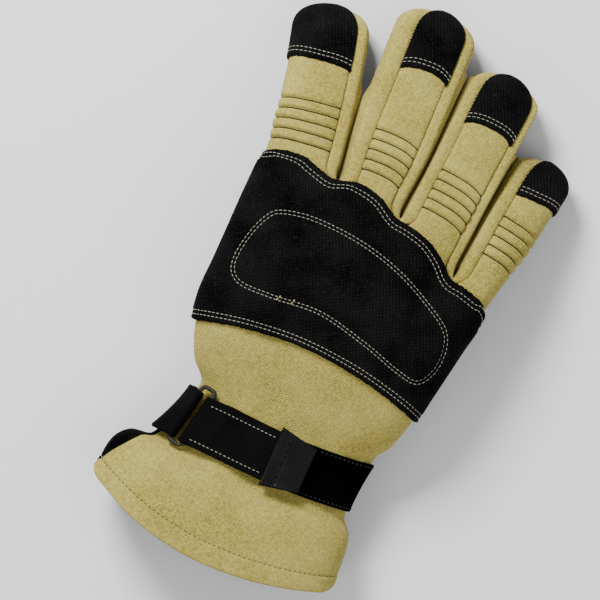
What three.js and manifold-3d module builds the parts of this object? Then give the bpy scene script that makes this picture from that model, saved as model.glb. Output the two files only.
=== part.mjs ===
// Firefighter glove for the right hand, lying palm down with its thumb tucked under the palm.
// Millimetres, +Z up, +Y along the fingers and +X towards the little finger.
// Every length along the glove is counted from the middle of the wrist strap.
import * as THREE from 'three';
import { mergeVertices } from 'three/addons/utils/BufferGeometryUtils.js';
import Module from 'manifold-3d';

const wasm = await Module();
wasm.setup();

// Lengths along the glove
const cuffLength = 68; // strap to the mouth of the cuff
const handLength = 147; // strap to the web of the fingers
const indexLength = 85; // web to fingertip
const middleLength = 106.5;
const ringLength = 94.5;
const littleLength = 75;
const thumbLength = 112; // root inside the palm to thumb tip

// Widths across the glove, outside
const cuffWidth = 146;
const wristWidth = 106;
const handWidth = 142;
const indexWidth = 41;
const middleWidth = 45.5;
const ringWidth = 41;
const littleWidth = 33;
const thumbWidth = 38;
const fingerSlot = 1.1; // air between neighbouring fingers at their roots

// Heights, outside
const cuffHeight = 58;
const wristHeight = 37;
const handThickness = 36;
const fingerThickness = 27;
const thumbThickness = 22;
const thumbClearance = 0.7; // between the tucked thumb and the palm above it

// Cloth
const wall = 3.5; // shell, barrier and lining together
const seamGap = 0.3; // between neighbouring pieces
const guardThickness = 2;
const padThickness = 1.8; // how far the padded field stands proud of the guard
const capThickness = 1.2;
const ribPitch = 5.8; // spacing of the quilt lines on the fingers
const ribDepth = 1.5;
const ribCount = 5;
const tipRound = 15; // length over which a fingertip rounds off

// Strap, ring and tab at the wrist
const strapWidth = 28.5;
const strapThickness = 1.6;
const layerGap = 0.5; // between layers of webbing, and between webbing and cloth
const ringWire = 2.4;
const ringSpan = 8.6; // between the middles of the ring's two long bars
const tabLength = 19;
const tabWidth = 34;
const tabThickness = 1.3;

const underPalm = thumbThickness + thumbClearance;
const tall = 2 * (cuffHeight + underPalm + handThickness);
const wide = 2 * (cuffWidth + handWidth);

// Sections of cuff, wrist and hand, from the mouth to the web.
// y is where the middle of the section lies, left and right are its edges, low and high its underside and
// back, and riseLeft and riseRight say how far its edges lie ahead of its middle. square rounds the corners.
// seamLeft and seamRight place the side seams, as shares of half the height above the section's middle.
const bodyRows = [
  { y: -1.0 * cuffLength, left: -0.562 * cuffWidth, right: 0.445 * cuffWidth, low: -0.035 * cuffHeight,
    high: cuffHeight, riseLeft: 0.29 * cuffLength, riseRight: 0.2 * cuffLength, square: 2.2,
    seamLeft: 0.08, seamRight: -0.2 },
  { y: -0.66 * cuffLength, left: -0.535 * cuffWidth, right: 0.434 * cuffWidth, low: -0.035 * cuffHeight,
    high: 0.94 * cuffHeight, riseLeft: 0.2 * cuffLength, riseRight: 0.14 * cuffLength, square: 2.2,
    seamLeft: 0.33, seamRight: -0.2 },
  { y: -0.4 * cuffLength, left: -0.478 * cuffWidth, right: 0.411 * cuffWidth, low: -0.02 * cuffHeight,
    high: 0.87 * cuffHeight, riseLeft: 0.12 * cuffLength, riseRight: 0.08 * cuffLength, square: 2.2,
    seamLeft: 0.4, seamRight: -0.2 },
  { y: -0.62 * strapWidth, left: -0.57 * wristWidth, right: 0.505 * wristWidth, low: 0.1 * underPalm,
    high: 0.1 * underPalm + 1.14 * wristHeight, riseLeft: 2, riseRight: 4, square: 2.3,
    seamLeft: 0.3, seamRight: -0.2 },
  { y: 0.62 * strapWidth, left: -0.457 * wristWidth, right: 0.523 * wristWidth, low: 0.25 * underPalm,
    high: 0.25 * underPalm + wristHeight, riseLeft: 2, riseRight: 4, square: 2.3,
    seamLeft: -0.2, seamRight: -0.2 },
  { y: 0.21 * handLength, left: -0.4 * handWidth, right: 0.427 * handWidth, low: 0.45 * underPalm,
    high: 0.45 * underPalm + handThickness, riseLeft: 0, riseRight: 0, square: 2.4,
    seamLeft: -0.25, seamRight: -0.25 },
  { y: 0.31 * handLength, left: -0.447 * handWidth, right: 0.454 * handWidth, low: 0.68 * underPalm,
    high: 0.68 * underPalm + handThickness, riseLeft: 0, riseRight: 0, square: 2.5,
    seamLeft: -0.25, seamRight: -0.25 },
  { y: 0.44 * handLength, left: -0.473 * handWidth, right: 0.473 * handWidth, low: 0.9 * underPalm,
    high: 0.9 * underPalm + handThickness, riseLeft: 0, riseRight: 0, square: 2.6,
    seamLeft: -0.25, seamRight: -0.25 },
  { y: 0.56 * handLength, left: -0.475 * handWidth, right: 0.487 * handWidth, low: underPalm,
    high: underPalm + handThickness, riseLeft: 0, riseRight: -0.03 * handLength, square: 2.6,
    seamLeft: -0.25, seamRight: -0.25 },
  { y: 0.75 * handLength, left: -0.477 * handWidth, right: 0.507 * handWidth, low: underPalm,
    high: underPalm + handThickness, riseLeft: -0.02 * handLength, riseRight: -0.09 * handLength, square: 2.7,
    seamLeft: -0.25, seamRight: -0.25 },
  { y: 0.9 * handLength, left: -0.479 * handWidth, right: 0.521 * handWidth, low: underPalm,
    high: underPalm + 0.95 * handThickness, riseLeft: -0.035 * handLength, riseRight: -0.17 * handLength,
    square: 2.7, seamLeft: -0.25, seamRight: -0.25 },
  { y: 0.99 * handLength, left: -0.475 * handWidth, right: 0.521 * handWidth,
    low: underPalm + 0.1 * handThickness, high: underPalm + 0.84 * handThickness,
    riseLeft: -0.02 * handLength, riseRight: -0.21 * handLength, square: 2.6,
    seamLeft: -0.25, seamRight: -0.25 },
  { y: 1.03 * handLength, left: -0.45 * handWidth, right: 0.5 * handWidth,
    low: underPalm + 0.25 * handThickness, high: underPalm + 0.68 * handThickness,
    riseLeft: -0.02 * handLength, riseRight: -0.235 * handLength, square: 2.4,
    seamLeft: -0.25, seamRight: -0.25 },
];
const outerStep = 22; // longest stretch between two sections of the body, outside and inside
const innerStep = 30;
const outerSides = { body: 20, finger: 12 };
const innerSides = { body: 14, finger: 8 };

// The fingers, from the index finger to the little one.
// base is where a finger leaves the web, as a share of the hand's length. lean is its angle to the glove in
// degrees and bend how much further its tip swings. seamLeft and seamRight are how far its back seams lie
// inside its outline, as shares of its width; a negative one lies outside it, so that side has no seam.
// ribStart is from the web to the first quilt line, and capLength the depth of the black cap.
const fingers = [
  { name: 'index', width: indexWidth, length: indexLength, base: 1.02, lean: -8.4, bend: -0.083,
    seamLeft: -0.3, seamRight: 0.17, ribStart: 9.5, capLength: 29, thick: 1 },
  { name: 'middle', width: middleWidth, length: middleLength, base: 1.02, lean: -2.7, bend: 0,
    seamLeft: 0.25, seamRight: 0.15, ribStart: 12, capLength: 33, thick: 1 },
  { name: 'ring', width: ringWidth, length: ringLength, base: 0.99, lean: 2.7, bend: 0,
    seamLeft: 0.19, seamRight: 0.11, ribStart: 9, capLength: 30, thick: 0.97 },
  { name: 'little', width: littleWidth, length: littleLength, base: 0.895, lean: 6.8, bend: 0,
    seamLeft: 0.29, seamRight: -0.3, ribStart: 14, capLength: 21, thick: 0.92 },
];
// How wide each finger is along its length, as a share of its width. s runs from the web to the tip.
const widthRows = [
  { s: -0.55, index: 0.98, middle: 0.8, ring: 0.93, little: 0.69 },
  { s: 0, index: 1, middle: 0.824, ring: 0.94, little: 0.753 },
  { s: 0.25, index: 1, middle: 0.965, ring: 0.945, little: 0.85 },
  { s: 0.5, index: 1, middle: 0.985, ring: 0.96, little: 0.955 },
  { s: 0.8, index: 1, middle: 1, ring: 1, little: 1 },
  { s: 1.2, index: 1, middle: 1, ring: 1, little: 1 },
];
const fingerSquare = 2.6;
const fingerSeam = -0.25; // side seam of a finger, as a share of half its thickness above its middle
const droopPower = 1.5; // a finger bends down as this power of its length
const tipSink = 0.6; // how far a fingertip is pressed flat on the surface

// The thumb, from its root inside the palm to its tip under the middle finger's root.
// s is the share of its length, across a share of the hand's width, up a share of its own thickness.
const thumbRows = [
  { s: 0, across: -0.25, up: 1.25, width: 1.12, thick: 1.0 },
  { s: 0.14, across: -0.235, up: 0.95, width: 1.2, thick: 1.12 },
  { s: 0.3, across: -0.21, up: 0.56, width: 1.16, thick: 1.1 },
  { s: 0.45, across: -0.18, up: 0.5, width: 1.08, thick: 1.02 },
  { s: 0.65, across: -0.14, up: 0.5, width: 1.0, thick: 1.0 },
  { s: 0.88, across: -0.095, up: 0.5, width: 0.98, thick: 1.0 },
  { s: 1, across: -0.075, up: 0.5, width: 0.98, thick: 1.0 },
];
const thumbStart = 0.24; // share of the hand's length where the thumb's root lies
const thumbSeam = 0.2; // where the tan side strip starts, as a share of the thumb's width from its middle

// Value of one column at a place between rows, on a smooth curve through them
function columnAt(rows, key, place, column) {
  const last = rows.length - 1;
  let i = 0;
  while (i < last - 1 && rows[i + 1][key] < place) {
    i += 1;
  }
  const a = rows[Math.max(i - 1, 0)];
  const b = rows[i];
  const c = rows[i + 1];
  const d = rows[Math.min(i + 2, last)];
  const span = c[key] - b[key];
  const t = THREE.MathUtils.clamp((place - b[key]) / span, 0, 1);
  const startSlope = (c[column] - a[column]) / (c[key] - a[key]);
  const endSlope = (d[column] - b[column]) / (d[key] - b[key]);
  const blend = t * t * (3 - 2 * t);
  const lead = t * (1 - t) * (1 - t) * span * startSlope;
  const tail = t * t * (t - 1) * span * endSlope;
  return b[column] * (1 - blend) + c[column] * blend + lead + tail;
}

// A point on a rounded section, as offsets across and up from its middle
function sectionPoint(angle, halfWidth, halfHeight, square) {
  const across = Math.cos(angle);
  const up = Math.sin(angle);
  const power = 2 / square;
  return {
    across: halfWidth * Math.sign(across) * Math.abs(across) ** power,
    up: halfHeight * Math.sign(up) * Math.abs(up) ** power,
  };
}

// Solids from meshes, and back
function toSolid(geometry) {
  const bare = geometry.clone();
  bare.deleteAttribute('normal');
  bare.deleteAttribute('uv');
  const merged = mergeVertices(bare, 1e-4);
  return new wasm.Manifold(new wasm.Mesh({
    numProp: 3,
    vertProperties: new Float32Array(merged.attributes.position.array),
    triVerts: new Uint32Array(merged.index.array),
  }));
}

function toGeometry(solid) {
  const mesh = solid.getMesh();
  const geometry = new THREE.BufferGeometry();
  geometry.setAttribute('position', new THREE.BufferAttribute(new Float32Array(mesh.vertProperties), 3));
  geometry.setIndex(new THREE.BufferAttribute(new Uint32Array(mesh.triVerts), 1));
  geometry.computeVertexNormals();
  return geometry;
}

function joined(solids) {
  return solids.reduce((whole, solid) => whole.add(solid));
}

// A closed solid through rings of points. Each end is closed by a fan, or where a ring runs out along one
// edge and back along the other, by strips between the two edges.
function loft(rings, edgeToEdge = false) {
  const sides = rings[0].length;
  const points = rings.flat();
  const index = [];
  for (let r = 0; r < rings.length - 1; r += 1) {
    for (let k = 0; k < sides; k += 1) {
      const a = r * sides + k;
      const b = r * sides + (k + 1) % sides;
      index.push(a, a + sides, b, b, a + sides, b + sides);
    }
  }
  const last = (rings.length - 1) * sides;
  if (edgeToEdge) {
    for (let k = 0; k < sides / 2 - 1; k += 1) {
      const over = sides - 1 - k;
      index.push(k, k + 1, over, k + 1, over - 1, over);
      index.push(last + k + 1, last + k, last + over, last + over - 1, last + k + 1, last + over);
    }
  } else {
    const first = points.length;
    const start = new THREE.Vector3();
    const end = new THREE.Vector3();
    rings[0].forEach((point) => start.addScaledVector(point, 1 / sides));
    rings.at(-1).forEach((point) => end.addScaledVector(point, 1 / sides));
    points.push(start, end);
    for (let k = 0; k < sides; k += 1) {
      const next = (k + 1) % sides;
      index.push(first, k, next);
      index.push(first + 1, last + next, last + k);
    }
  }
  const geometry = new THREE.BufferGeometry().setFromPoints(points);
  geometry.setIndex(index);
  return toSolid(geometry);
}

// An upright solid over an outline seen from above
function prism(points) {
  const outline = new THREE.Shape(points);
  const geometry = new THREE.ExtrudeGeometry(outline, { depth: 2 * tall, bevelEnabled: false });
  geometry.translate(0, 0, -tall);
  return toSolid(geometry);
}

// Cuff, wrist and hand
function bodyRow(y) {
  const row = { y };
  for (const column of Object.keys(bodyRows[0])) {
    if (column !== 'y') {
      row[column] = columnAt(bodyRows, 'y', y, column);
    }
  }
  return row;
}

function bodyMiddle(y) {
  return (columnAt(bodyRows, 'y', y, 'low') + columnAt(bodyRows, 'y', y, 'high')) / 2;
}

function bodyPoint(y, angle, grow) {
  const row = bodyRow(y);
  const halfWidth = (row.right - row.left) / 2 + grow;
  const halfHeight = (row.high - row.low) / 2 + grow;
  const point = sectionPoint(angle, halfWidth, halfHeight, row.square);
  const share = point.across / halfWidth;
  const rise = share < 0 ? row.riseLeft : row.riseRight;
  const nearWeb = THREE.MathUtils.smoothstep(y, 0.8 * handLength, handLength);
  return new THREE.Vector3(
    (row.left + row.right) / 2 + point.across,
    y + rise * share * share + grow * nearWeb,
    Math.max((row.low + row.high) / 2 + point.up, -grow),
  );
}

// The angle round a section of the body at which its back lies at a place across
function angleAt(y, across) {
  const row = bodyRow(y);
  const share = 2 * (across - (row.left + row.right) / 2) / (row.right - row.left);
  return Math.acos(Math.sign(share) * Math.abs(share) ** (row.square / 2));
}

function bodyStations(step) {
  const stations = [];
  for (let i = 0; i < bodyRows.length - 1; i += 1) {
    const from = bodyRows[i].y;
    const to = bodyRows[i + 1].y;
    const count = Math.ceil((to - from) / step);
    for (let k = 0; k < count; k += 1) {
      stations.push(from + (to - from) * k / count);
    }
  }
  stations.push(bodyRows.at(-1).y);
  return stations;
}

function body(grow, mouthOut) {
  const sides = grow < 0 ? innerSides.body : outerSides.body;
  const rings = bodyStations(grow < 0 ? innerStep : outerStep).map((y) => {
    const ring = [];
    for (let k = 0; k < sides; k += 1) {
      ring.push(bodyPoint(y, 2 * Math.PI * k / sides, grow));
    }
    return ring;
  });
  if (mouthOut > 0) {
    rings.unshift(rings[0].map((point) => point.clone().add(new THREE.Vector3(0, -mouthOut, 0))));
  }
  return loft(rings);
}

// Where the fingers stand: side by side at the web, with an air slot between them
function baseWidth(finger) {
  return finger.width * columnAt(widthRows, 's', 0, finger.name);
}
const middleAcross = -0.052 * handWidth;
const gapTo = (a, b) => baseWidth(a) / 2 + fingerSlot + baseWidth(b) / 2;
const ringAcross = middleAcross + gapTo(fingers[1], fingers[2]);
const baseAcross = [
  middleAcross - gapTo(fingers[0], fingers[1]),
  middleAcross,
  ringAcross,
  ringAcross + gapTo(fingers[2], fingers[3]),
];

// Middle of a finger's section at share s of its length, with its width, height and sideways direction
function fingerSection(finger, s, grow) {
  const lean = THREE.MathUtils.degToRad(finger.lean);
  const along = s > 0 ? s * (finger.length + grow) : s * finger.length;
  const reach = along / finger.length;
  const swing = finger.bend * finger.length * Math.max(reach, 0) ** 2;
  const y = finger.base * handLength + along;
  const turn = Math.atan(Math.tan(lean) + 2 * finger.bend * Math.max(reach, 0));
  const thickness = fingerThickness * finger.thick * (1.04 - 0.1 * Math.max(s, 0));
  const tipMiddle = thickness / 2 - tipSink;
  const rootMiddle = bodyMiddle(Math.min(y, finger.base * handLength));
  const droop = Math.min(Math.max(reach, 0), 1) ** droopPower;
  return {
    x: baseAcross[fingers.indexOf(finger)] + Math.tan(lean) * along + swing,
    y,
    z: rootMiddle + (tipMiddle - rootMiddle) * droop,
    turn,
    width: finger.width * columnAt(widthRows, 's', Math.min(Math.max(s, -0.55), 1.2), finger.name),
    thickness,
  };
}

// A point beside a finger's middle line, seen from above, at a share of its width
function besideFinger(finger, s, share, extra) {
  const section = fingerSection(finger, s, 0);
  const offset = share * section.width + extra;
  return new THREE.Vector2(
    section.x + offset * Math.cos(section.turn),
    section.y - offset * Math.sin(section.turn),
  );
}

function tipShape(finger, s, grow) {
  const fromTip = Math.max((1 - s) * (finger.length + grow), 0);
  const share = Math.min(fromTip / tipRound, 1);
  return (1 - (1 - share) ** 2.4) ** (1 / 2.4);
}

function ribDent(finger, s) {
  const along = s * finger.length - finger.ribStart;
  const line = along / ribPitch;
  const inside = line > -0.6 && line < ribCount - 0.4;
  const offLine = Math.abs(line - Math.round(line));
  return inside && offLine < 0.2 ? ribDepth : 0;
}

function fingerStations(finger, withRibs) {
  const stations = [-0.42, -0.1];
  if (withRibs) {
    for (let k = -1; k < 2 * ribCount; k += 1) {
      stations.push((finger.ribStart + k * ribPitch / 2) / finger.length);
    }
  } else {
    stations.push(0.12, 0.3);
  }
  const ribsEnd = (finger.ribStart + (ribCount - 0.5) * ribPitch) / finger.length;
  const roundStart = 1 - tipRound / finger.length;
  stations.push((ribsEnd + roundStart) / 2);
  for (const share of [1, 0.5, 0.2, 0.05]) {
    stations.push(1 - share * tipRound / finger.length);
  }
  return stations.filter((s, i) => i === 0 || s > stations[i - 1] + 0.01);
}

function fingerRing(finger, s, grow, withRibs) {
  const section = fingerSection(finger, s, grow);
  const shape = tipShape(finger, s, grow);
  const dent = withRibs ? ribDent(finger, s) : 0;
  const sides = grow < 0 ? innerSides.finger : outerSides.finger;
  const ring = [];
  for (let k = 0; k < sides; k += 1) {
    const angle = 2 * Math.PI * k / sides;
    const halfWidth = (section.width / 2 + grow) * shape;
    const halfHeight = (section.thickness / 2 + grow) * shape ** 0.8;
    const point = sectionPoint(angle, halfWidth, halfHeight, fingerSquare);
    const pinch = dent * Math.max(Math.sin(angle), 0) ** 0.6;
    ring.push(new THREE.Vector3(
      section.x + point.across * Math.cos(section.turn),
      section.y - point.across * Math.sin(section.turn),
      Math.max(section.z + point.up - pinch, -grow),
    ));
  }
  return ring;
}

function fingerSolid(finger, grow, withRibs) {
  return loft(fingerStations(finger, withRibs).map((s) => fingerRing(finger, s, grow, withRibs)));
}

// The thumb
function thumbPoint(s) {
  return new THREE.Vector2(
    columnAt(thumbRows, 's', s, 'across') * handWidth,
    thumbStart * handLength + s * thumbLength * 0.93,
  );
}

function thumbTurn(s) {
  const ahead = thumbPoint(Math.min(s + 0.02, 1));
  const behind = thumbPoint(Math.max(s - 0.02, 0));
  return Math.atan2(ahead.x - behind.x, ahead.y - behind.y);
}

function thumbRing(s, grow) {
  const reach = s > 0.5 ? 1 + grow / thumbLength : 1;
  const middle = thumbPoint(Math.min(s, 1));
  middle.y += (reach - 1) * thumbLength * (s - 0.5) * 2;
  const turn = thumbTurn(s);
  const fromTip = Math.min((1 - s) * thumbLength / tipRound, 1);
  const shape = (1 - (1 - fromTip) ** 2.4) ** (1 / 2.4);
  const halfWidth = (columnAt(thumbRows, 's', s, 'width') * thumbWidth / 2 + grow) * shape;
  const halfHeight = (columnAt(thumbRows, 's', s, 'thick') * thumbThickness / 2 + grow) * shape ** 0.8;
  const height = columnAt(thumbRows, 's', s, 'up') * thumbThickness;
  const sides = grow < 0 ? innerSides.finger : outerSides.finger;
  const ring = [];
  for (let k = 0; k < sides; k += 1) {
    const point = sectionPoint(2 * Math.PI * k / sides, halfWidth, halfHeight, fingerSquare);
    ring.push(new THREE.Vector3(
      middle.x + point.across * Math.cos(turn),
      middle.y - point.across * Math.sin(turn),
      Math.max(height + point.up, -grow),
    ));
  }
  return ring;
}

function thumbSolid(grow) {
  const round = tipRound / thumbLength;
  const stations = [0, 0.14, 0.3, 0.45, 0.65, 1 - round];
  for (const share of [0.5, 0.2, 0.05]) {
    stations.push(1 - share * round);
  }
  return loft(stations.map((s) => thumbRing(s, grow)));
}

// Everything below the side seams: a wide slab under the body and a narrow one under each finger
const slabShares = [-1, -0.5, 0, 0.5, 1];
function seamSlab(lift, reach = seamGap) {
  const stations = bodyRows.map((row) => row.y);
  const slab = loft([stations[0] - cuffLength, ...stations].map((y) => {
    const row = bodyRow(Math.max(y, stations[0]));
    const halfHeight = (row.high - row.low) / 2;
    const middle = (row.left + row.right) / 2;
    const top = slabShares.map((share) => {
      const rise = share < 0 ? row.riseLeft : row.riseRight;
      const seam = THREE.MathUtils.mapLinear(share, -1, 1, row.seamLeft, row.seamRight);
      const up = (row.low + row.high) / 2 + seam * halfHeight + lift;
      const across = middle + share * (row.right - row.left) / 2;
      return new THREE.Vector3(across, y + rise * share * share + reach, up);
    });
    top.unshift(top[0].clone().setX(-wide));
    top.push(top.at(-1).clone().setX(wide));
    const bottom = top.map((point) => point.clone().setZ(-tall));
    return [...top.reverse(), ...bottom];
  }), true);
  const slabStations = [-0.1, 0.12, 0.25, 0.45, 0.75, 1.15];
  const underFingers = fingers.map((finger) => loft(slabStations.map((s) => {
    const section = fingerSection(finger, s, 0);
    const up = section.z + fingerSeam * section.thickness / 2 + lift;
    const right = besideFinger(finger, s, 0.5, 0.55 * fingerSlot);
    const left = besideFinger(finger, s, -0.5, -0.55 * fingerSlot);
    return [
      new THREE.Vector3(right.x, right.y, up),
      new THREE.Vector3(left.x, left.y, up),
      new THREE.Vector3(left.x, left.y, -tall),
      new THREE.Vector3(right.x, right.y, -tall),
    ];
  })));
  return joined([slab, ...underFingers]);
}

// The strip that forms the sides of two neighbouring fingers, seen from above. It runs down the back seam
// of one finger, round a U at the web and up the seam of the next.
const webs = [
  { from: 0, to: 1, startFrom: 0.05, startTo: 0.04, depth: 0.052 },
  { from: 1, to: 2, startFrom: 0.03, startTo: 0.04, depth: 0.058 },
  { from: 2, to: 3, startFrom: -0.08, startTo: 0.06, depth: 0.075 },
];
function webOutline(web, grow) {
  const a = fingers[web.from];
  const b = fingers[web.to];
  const points = [];
  for (const s of [1.15, 0.75, 0.45, 0.2]) {
    points.push(besideFinger(a, s, 0.5 - a.seamRight, -grow));
  }
  const start = besideFinger(a, web.startFrom, 0.5 - a.seamRight, -grow);
  const end = besideFinger(b, web.startTo, b.seamLeft - 0.5, grow);
  for (let t = 0; t <= 1; t += 0.2) {
    const point = start.clone().lerp(end, (1 - Math.cos(Math.PI * t)) / 2);
    point.y -= (web.depth * handLength + grow) * Math.sin(Math.PI * t);
    points.push(point);
  }
  for (const s of [0.2, 0.45, 0.75, 1.15]) {
    points.push(besideFinger(b, s, b.seamLeft - 0.5, grow));
  }
  return points;
}

// Each panel is sewn from a hand piece and four finger pieces, with narrow gaps along their seams
const rootSeam = 0.88; // where the hand's pieces end, as a share of its length
function fingerCuts() {
  const half = seamGap / 2;
  const root = rootSeam * handLength;
  const across = prism([
    new THREE.Vector2(-wide, root - half),
    new THREE.Vector2(wide, root - half),
    new THREE.Vector2(wide, root + half),
    new THREE.Vector2(-wide, root + half),
  ]);
  const slots = webs.map((web) => {
    const finger = fingers[web.from];
    const start = (rootSeam - finger.base) * handLength / finger.length;
    const path = [start, start / 2, 0, 0.3].map((s) => besideFinger(finger, s, 0.5, fingerSlot / 2));
    path[0].y = root;
    const right = path.map((point) => new THREE.Vector2(point.x + half, point.y));
    const left = path.map((point) => new THREE.Vector2(point.x - half, point.y));
    return prism([...right, ...left.reverse()]);
  });
  return joined([across, ...slots]);
}

// The pieces of a panel, the hand's first and then the fingers' from the index finger on. Chips of the inner
// walls between two fingers' hollows, cut off by the slots, are trimmed away.
function partFingers(solid) {
  const whole = solid.subtract(fingerCuts()).decompose().sort((a, b) => b.volume() - a.volume());
  const pieces = whole.slice(0, fingers.length + 1);
  const middle = (piece, axis) => piece.boundingBox().min[axis] + piece.boundingBox().max[axis];
  pieces.sort((a, b) => middle(a, 1) - middle(b, 1));
  return [pieces[0], ...pieces.slice(1).sort((a, b) => middle(a, 0) - middle(b, 0))];
}

// The knuckle guard and its padded field, as shares of the hand's width and length
const guardFront = [[-0.465, 0.993], [-0.415, 1.02], [-0.33, 1.034], [-0.25, 1.014], [-0.19, 1.003],
  [-0.1, 1.027], [-0.007, 1.014], [0.07, 0.973], [0.127, 0.966], [0.211, 0.946], [0.289, 0.905],
  [0.352, 0.857], [0.415, 0.844], [0.493, 0.816], [0.535, 0.776]];
const guardRear = [[-0.48, 0.325], [-0.36, 0.36], [-0.232, 0.388], [-0.05, 0.408], [0.14, 0.401],
  [0.275, 0.381], [0.394, 0.354], [0.5, 0.318]];
const padEdge = [[-0.408, 0.578], [-0.401, 0.694], [-0.359, 0.803], [-0.303, 0.837], [-0.183, 0.857],
  [0, 0.85], [0.176, 0.81], [0.345, 0.735], [0.423, 0.68], [0.45, 0.605], [0.444, 0.524], [0.401, 0.463],
  [0.317, 0.469], [0.162, 0.51], [-0.035, 0.544], [-0.232, 0.524], [-0.359, 0.524]];

function handSpline(shares, closed) {
  const points = shares.map(([across, along]) => {
    return new THREE.Vector3(across * handWidth, along * handLength, 0);
  });
  const curve = new THREE.CatmullRomCurve3(points, closed, 'centripetal');
  return curve.getPoints(Math.round(1.3 * shares.length)).map((point) => new THREE.Vector2(point.x, point.y));
}

function guardOutline() {
  const front = handSpline(guardFront, false);
  const rear = handSpline(guardRear, false).reverse();
  const leftFront = front[0].clone().setX(-wide);
  const leftRear = rear.at(-1).clone().setX(-wide);
  const rightFront = front.at(-1).clone().setX(wide);
  const rightRear = rear[0].clone().setX(wide);
  return [leftFront, ...front, rightFront, rightRear, ...rear, leftRear].reverse();
}

// The cap's outline over one finger, between its back seams and from its curved edge past the tip
const capDome = 0.09; // how far the cap's edge bows away from the tip at its ends, as a share of the width
function capOutline(finger) {
  const left = finger.seamLeft - 0.5;
  const right = 0.5 - finger.seamRight;
  const edge = 1 - finger.capLength / finger.length;
  const bow = capDome * finger.width / finger.length;
  const points = [];
  for (let t = -1; t <= 1; t += 0.5) {
    const share = THREE.MathUtils.mapLinear(t, -1, 1, left, right);
    points.push(besideFinger(finger, edge - bow * t * t, share, -t * seamGap));
  }
  for (const s of [0.8, 1.15]) {
    points.push(besideFinger(finger, s, right, -seamGap));
  }
  for (const s of [1.15, 0.8]) {
    points.push(besideFinger(finger, s, left, seamGap));
  }
  return points;
}

// A ribbon of cloth lying edge to edge across rows of points, as thick as stated
function ribbon(rows, thickness) {
  return loft(rows.map((row) => {
    const outer = [];
    const inner = [];
    row.forEach((point, i) => {
      const ahead = row[Math.min(i + 1, row.length - 1)];
      const behind = row[Math.max(i - 1, 0)];
      const across = ahead.x - behind.x;
      const up = ahead.z - behind.z;
      const length = Math.hypot(across, up);
      const half = thickness / 2 / length;
      outer.push(new THREE.Vector3(point.x + up * half, point.y, point.z - across * half));
      inner.push(new THREE.Vector3(point.x - up * half, point.y, point.z + across * half));
    });
    return [...outer, ...inner.reverse()];
  }), true);
}

// The rectangular ring lies on the side of the wrist. Its two long bars run along the glove.
const degrees = THREE.MathUtils.degToRad;
const barAngle = 131.6; // where the strap's bar lies round the wrist, in degrees
const barTwist = 2.8; // how much further round it lies at the strap's front edge, and less at the rear
const farBarTurn = 13; // from the strap's bar to the far one
const layerMiddle = layerGap + strapThickness / 2;
const barRise = layerGap + strapThickness + seamGap + ringWire / 2;
const foldRadius = ringWire / 2 + seamGap + strapThickness / 2;
const overBar = (side, turn, rise) => {
  return bodyPoint(side * strapWidth / 2, degrees(barAngle + barTwist * side + turn), rise);
};
const barFront = overBar(1, 0, barRise);
const barRear = overBar(-1, 0, barRise);
const barMiddle = barFront.clone().add(barRear).divideScalar(2);
const farBarRise = barRise + 2 * layerGap;
const farBarMiddle = overBar(1, farBarTurn, farBarRise)
  .add(overBar(-1, farBarTurn, farBarRise)).divideScalar(2);
const ringAlongWay = barFront.clone().sub(barRear).normalize();
const ringOutWay = ringAlongWay.clone().cross(farBarMiddle.sub(barMiddle)).normalize();
const ringAcrossWay = ringOutWay.clone().cross(ringAlongWay);
const ringCorner = ringWire;
const ringHalfLength = strapWidth / 2 + ringCorner + 2 * seamGap;

function ringBar(y, away) {
  const point = barMiddle.clone().addScaledVector(ringAcrossWay, away);
  return point.addScaledVector(ringAlongWay, (y - barMiddle.y) / ringAlongWay.y);
}

function strapRing() {
  const path = [];
  const halfAcross = ringSpan / 2;
  for (let corner = 0; corner < 4; corner += 1) {
    const signAcross = corner === 0 || corner === 3 ? 1 : -1;
    const signAlong = corner < 2 ? 1 : -1;
    for (let step = 0; step <= 3; step += 1) {
      const angle = Math.PI / 2 * (corner + step / 3);
      path.push({
        across: signAcross * (halfAcross - ringCorner) + ringCorner * Math.cos(angle),
        along: signAlong * (ringHalfLength - ringCorner) + ringCorner * Math.sin(angle),
      });
    }
  }
  const middle = barMiddle.clone().addScaledVector(ringAcrossWay, halfAcross);
  const sides = 8;
  const points = [];
  const index = [];
  path.forEach((place, i) => {
    const ahead = path[(i + 1) % path.length];
    const behind = path[(i + path.length - 1) % path.length];
    const way = new THREE.Vector2(ahead.along - behind.along, behind.across - ahead.across).normalize();
    for (let k = 0; k < sides; k += 1) {
      const angle = 2 * Math.PI * k / sides;
      const side = ringWire / 2 * Math.cos(angle);
      points.push(middle.clone()
        .addScaledVector(ringAcrossWay, place.across + side * way.x)
        .addScaledVector(ringAlongWay, place.along + side * way.y)
        .addScaledVector(ringOutWay, ringWire / 2 * Math.sin(angle)));
      const a = i * sides + k;
      const b = i * sides + (k + 1) % sides;
      const c = ((i + 1) % path.length) * sides + k;
      const d = ((i + 1) % path.length) * sides + (k + 1) % sides;
      index.push(a, b, c, b, d, c);
    }
  });
  const geometry = new THREE.BufferGeometry().setFromPoints(points);
  geometry.setIndex(index);
  return toSolid(geometry);
}

// A half turn of webbing round a bar, from under it to over it. side is 1 to turn away from the strap.
function foldRound(y, away, side) {
  const bar = ringBar(y, away);
  return [-90, -55, -20, 20, 55, 90].map((turn) => bar.clone()
    .addScaledVector(ringOutWay, foldRadius * Math.sin(degrees(turn)))
    .addScaledVector(ringAcrossWay, side * foldRadius * Math.cos(degrees(turn))));
}

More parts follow.
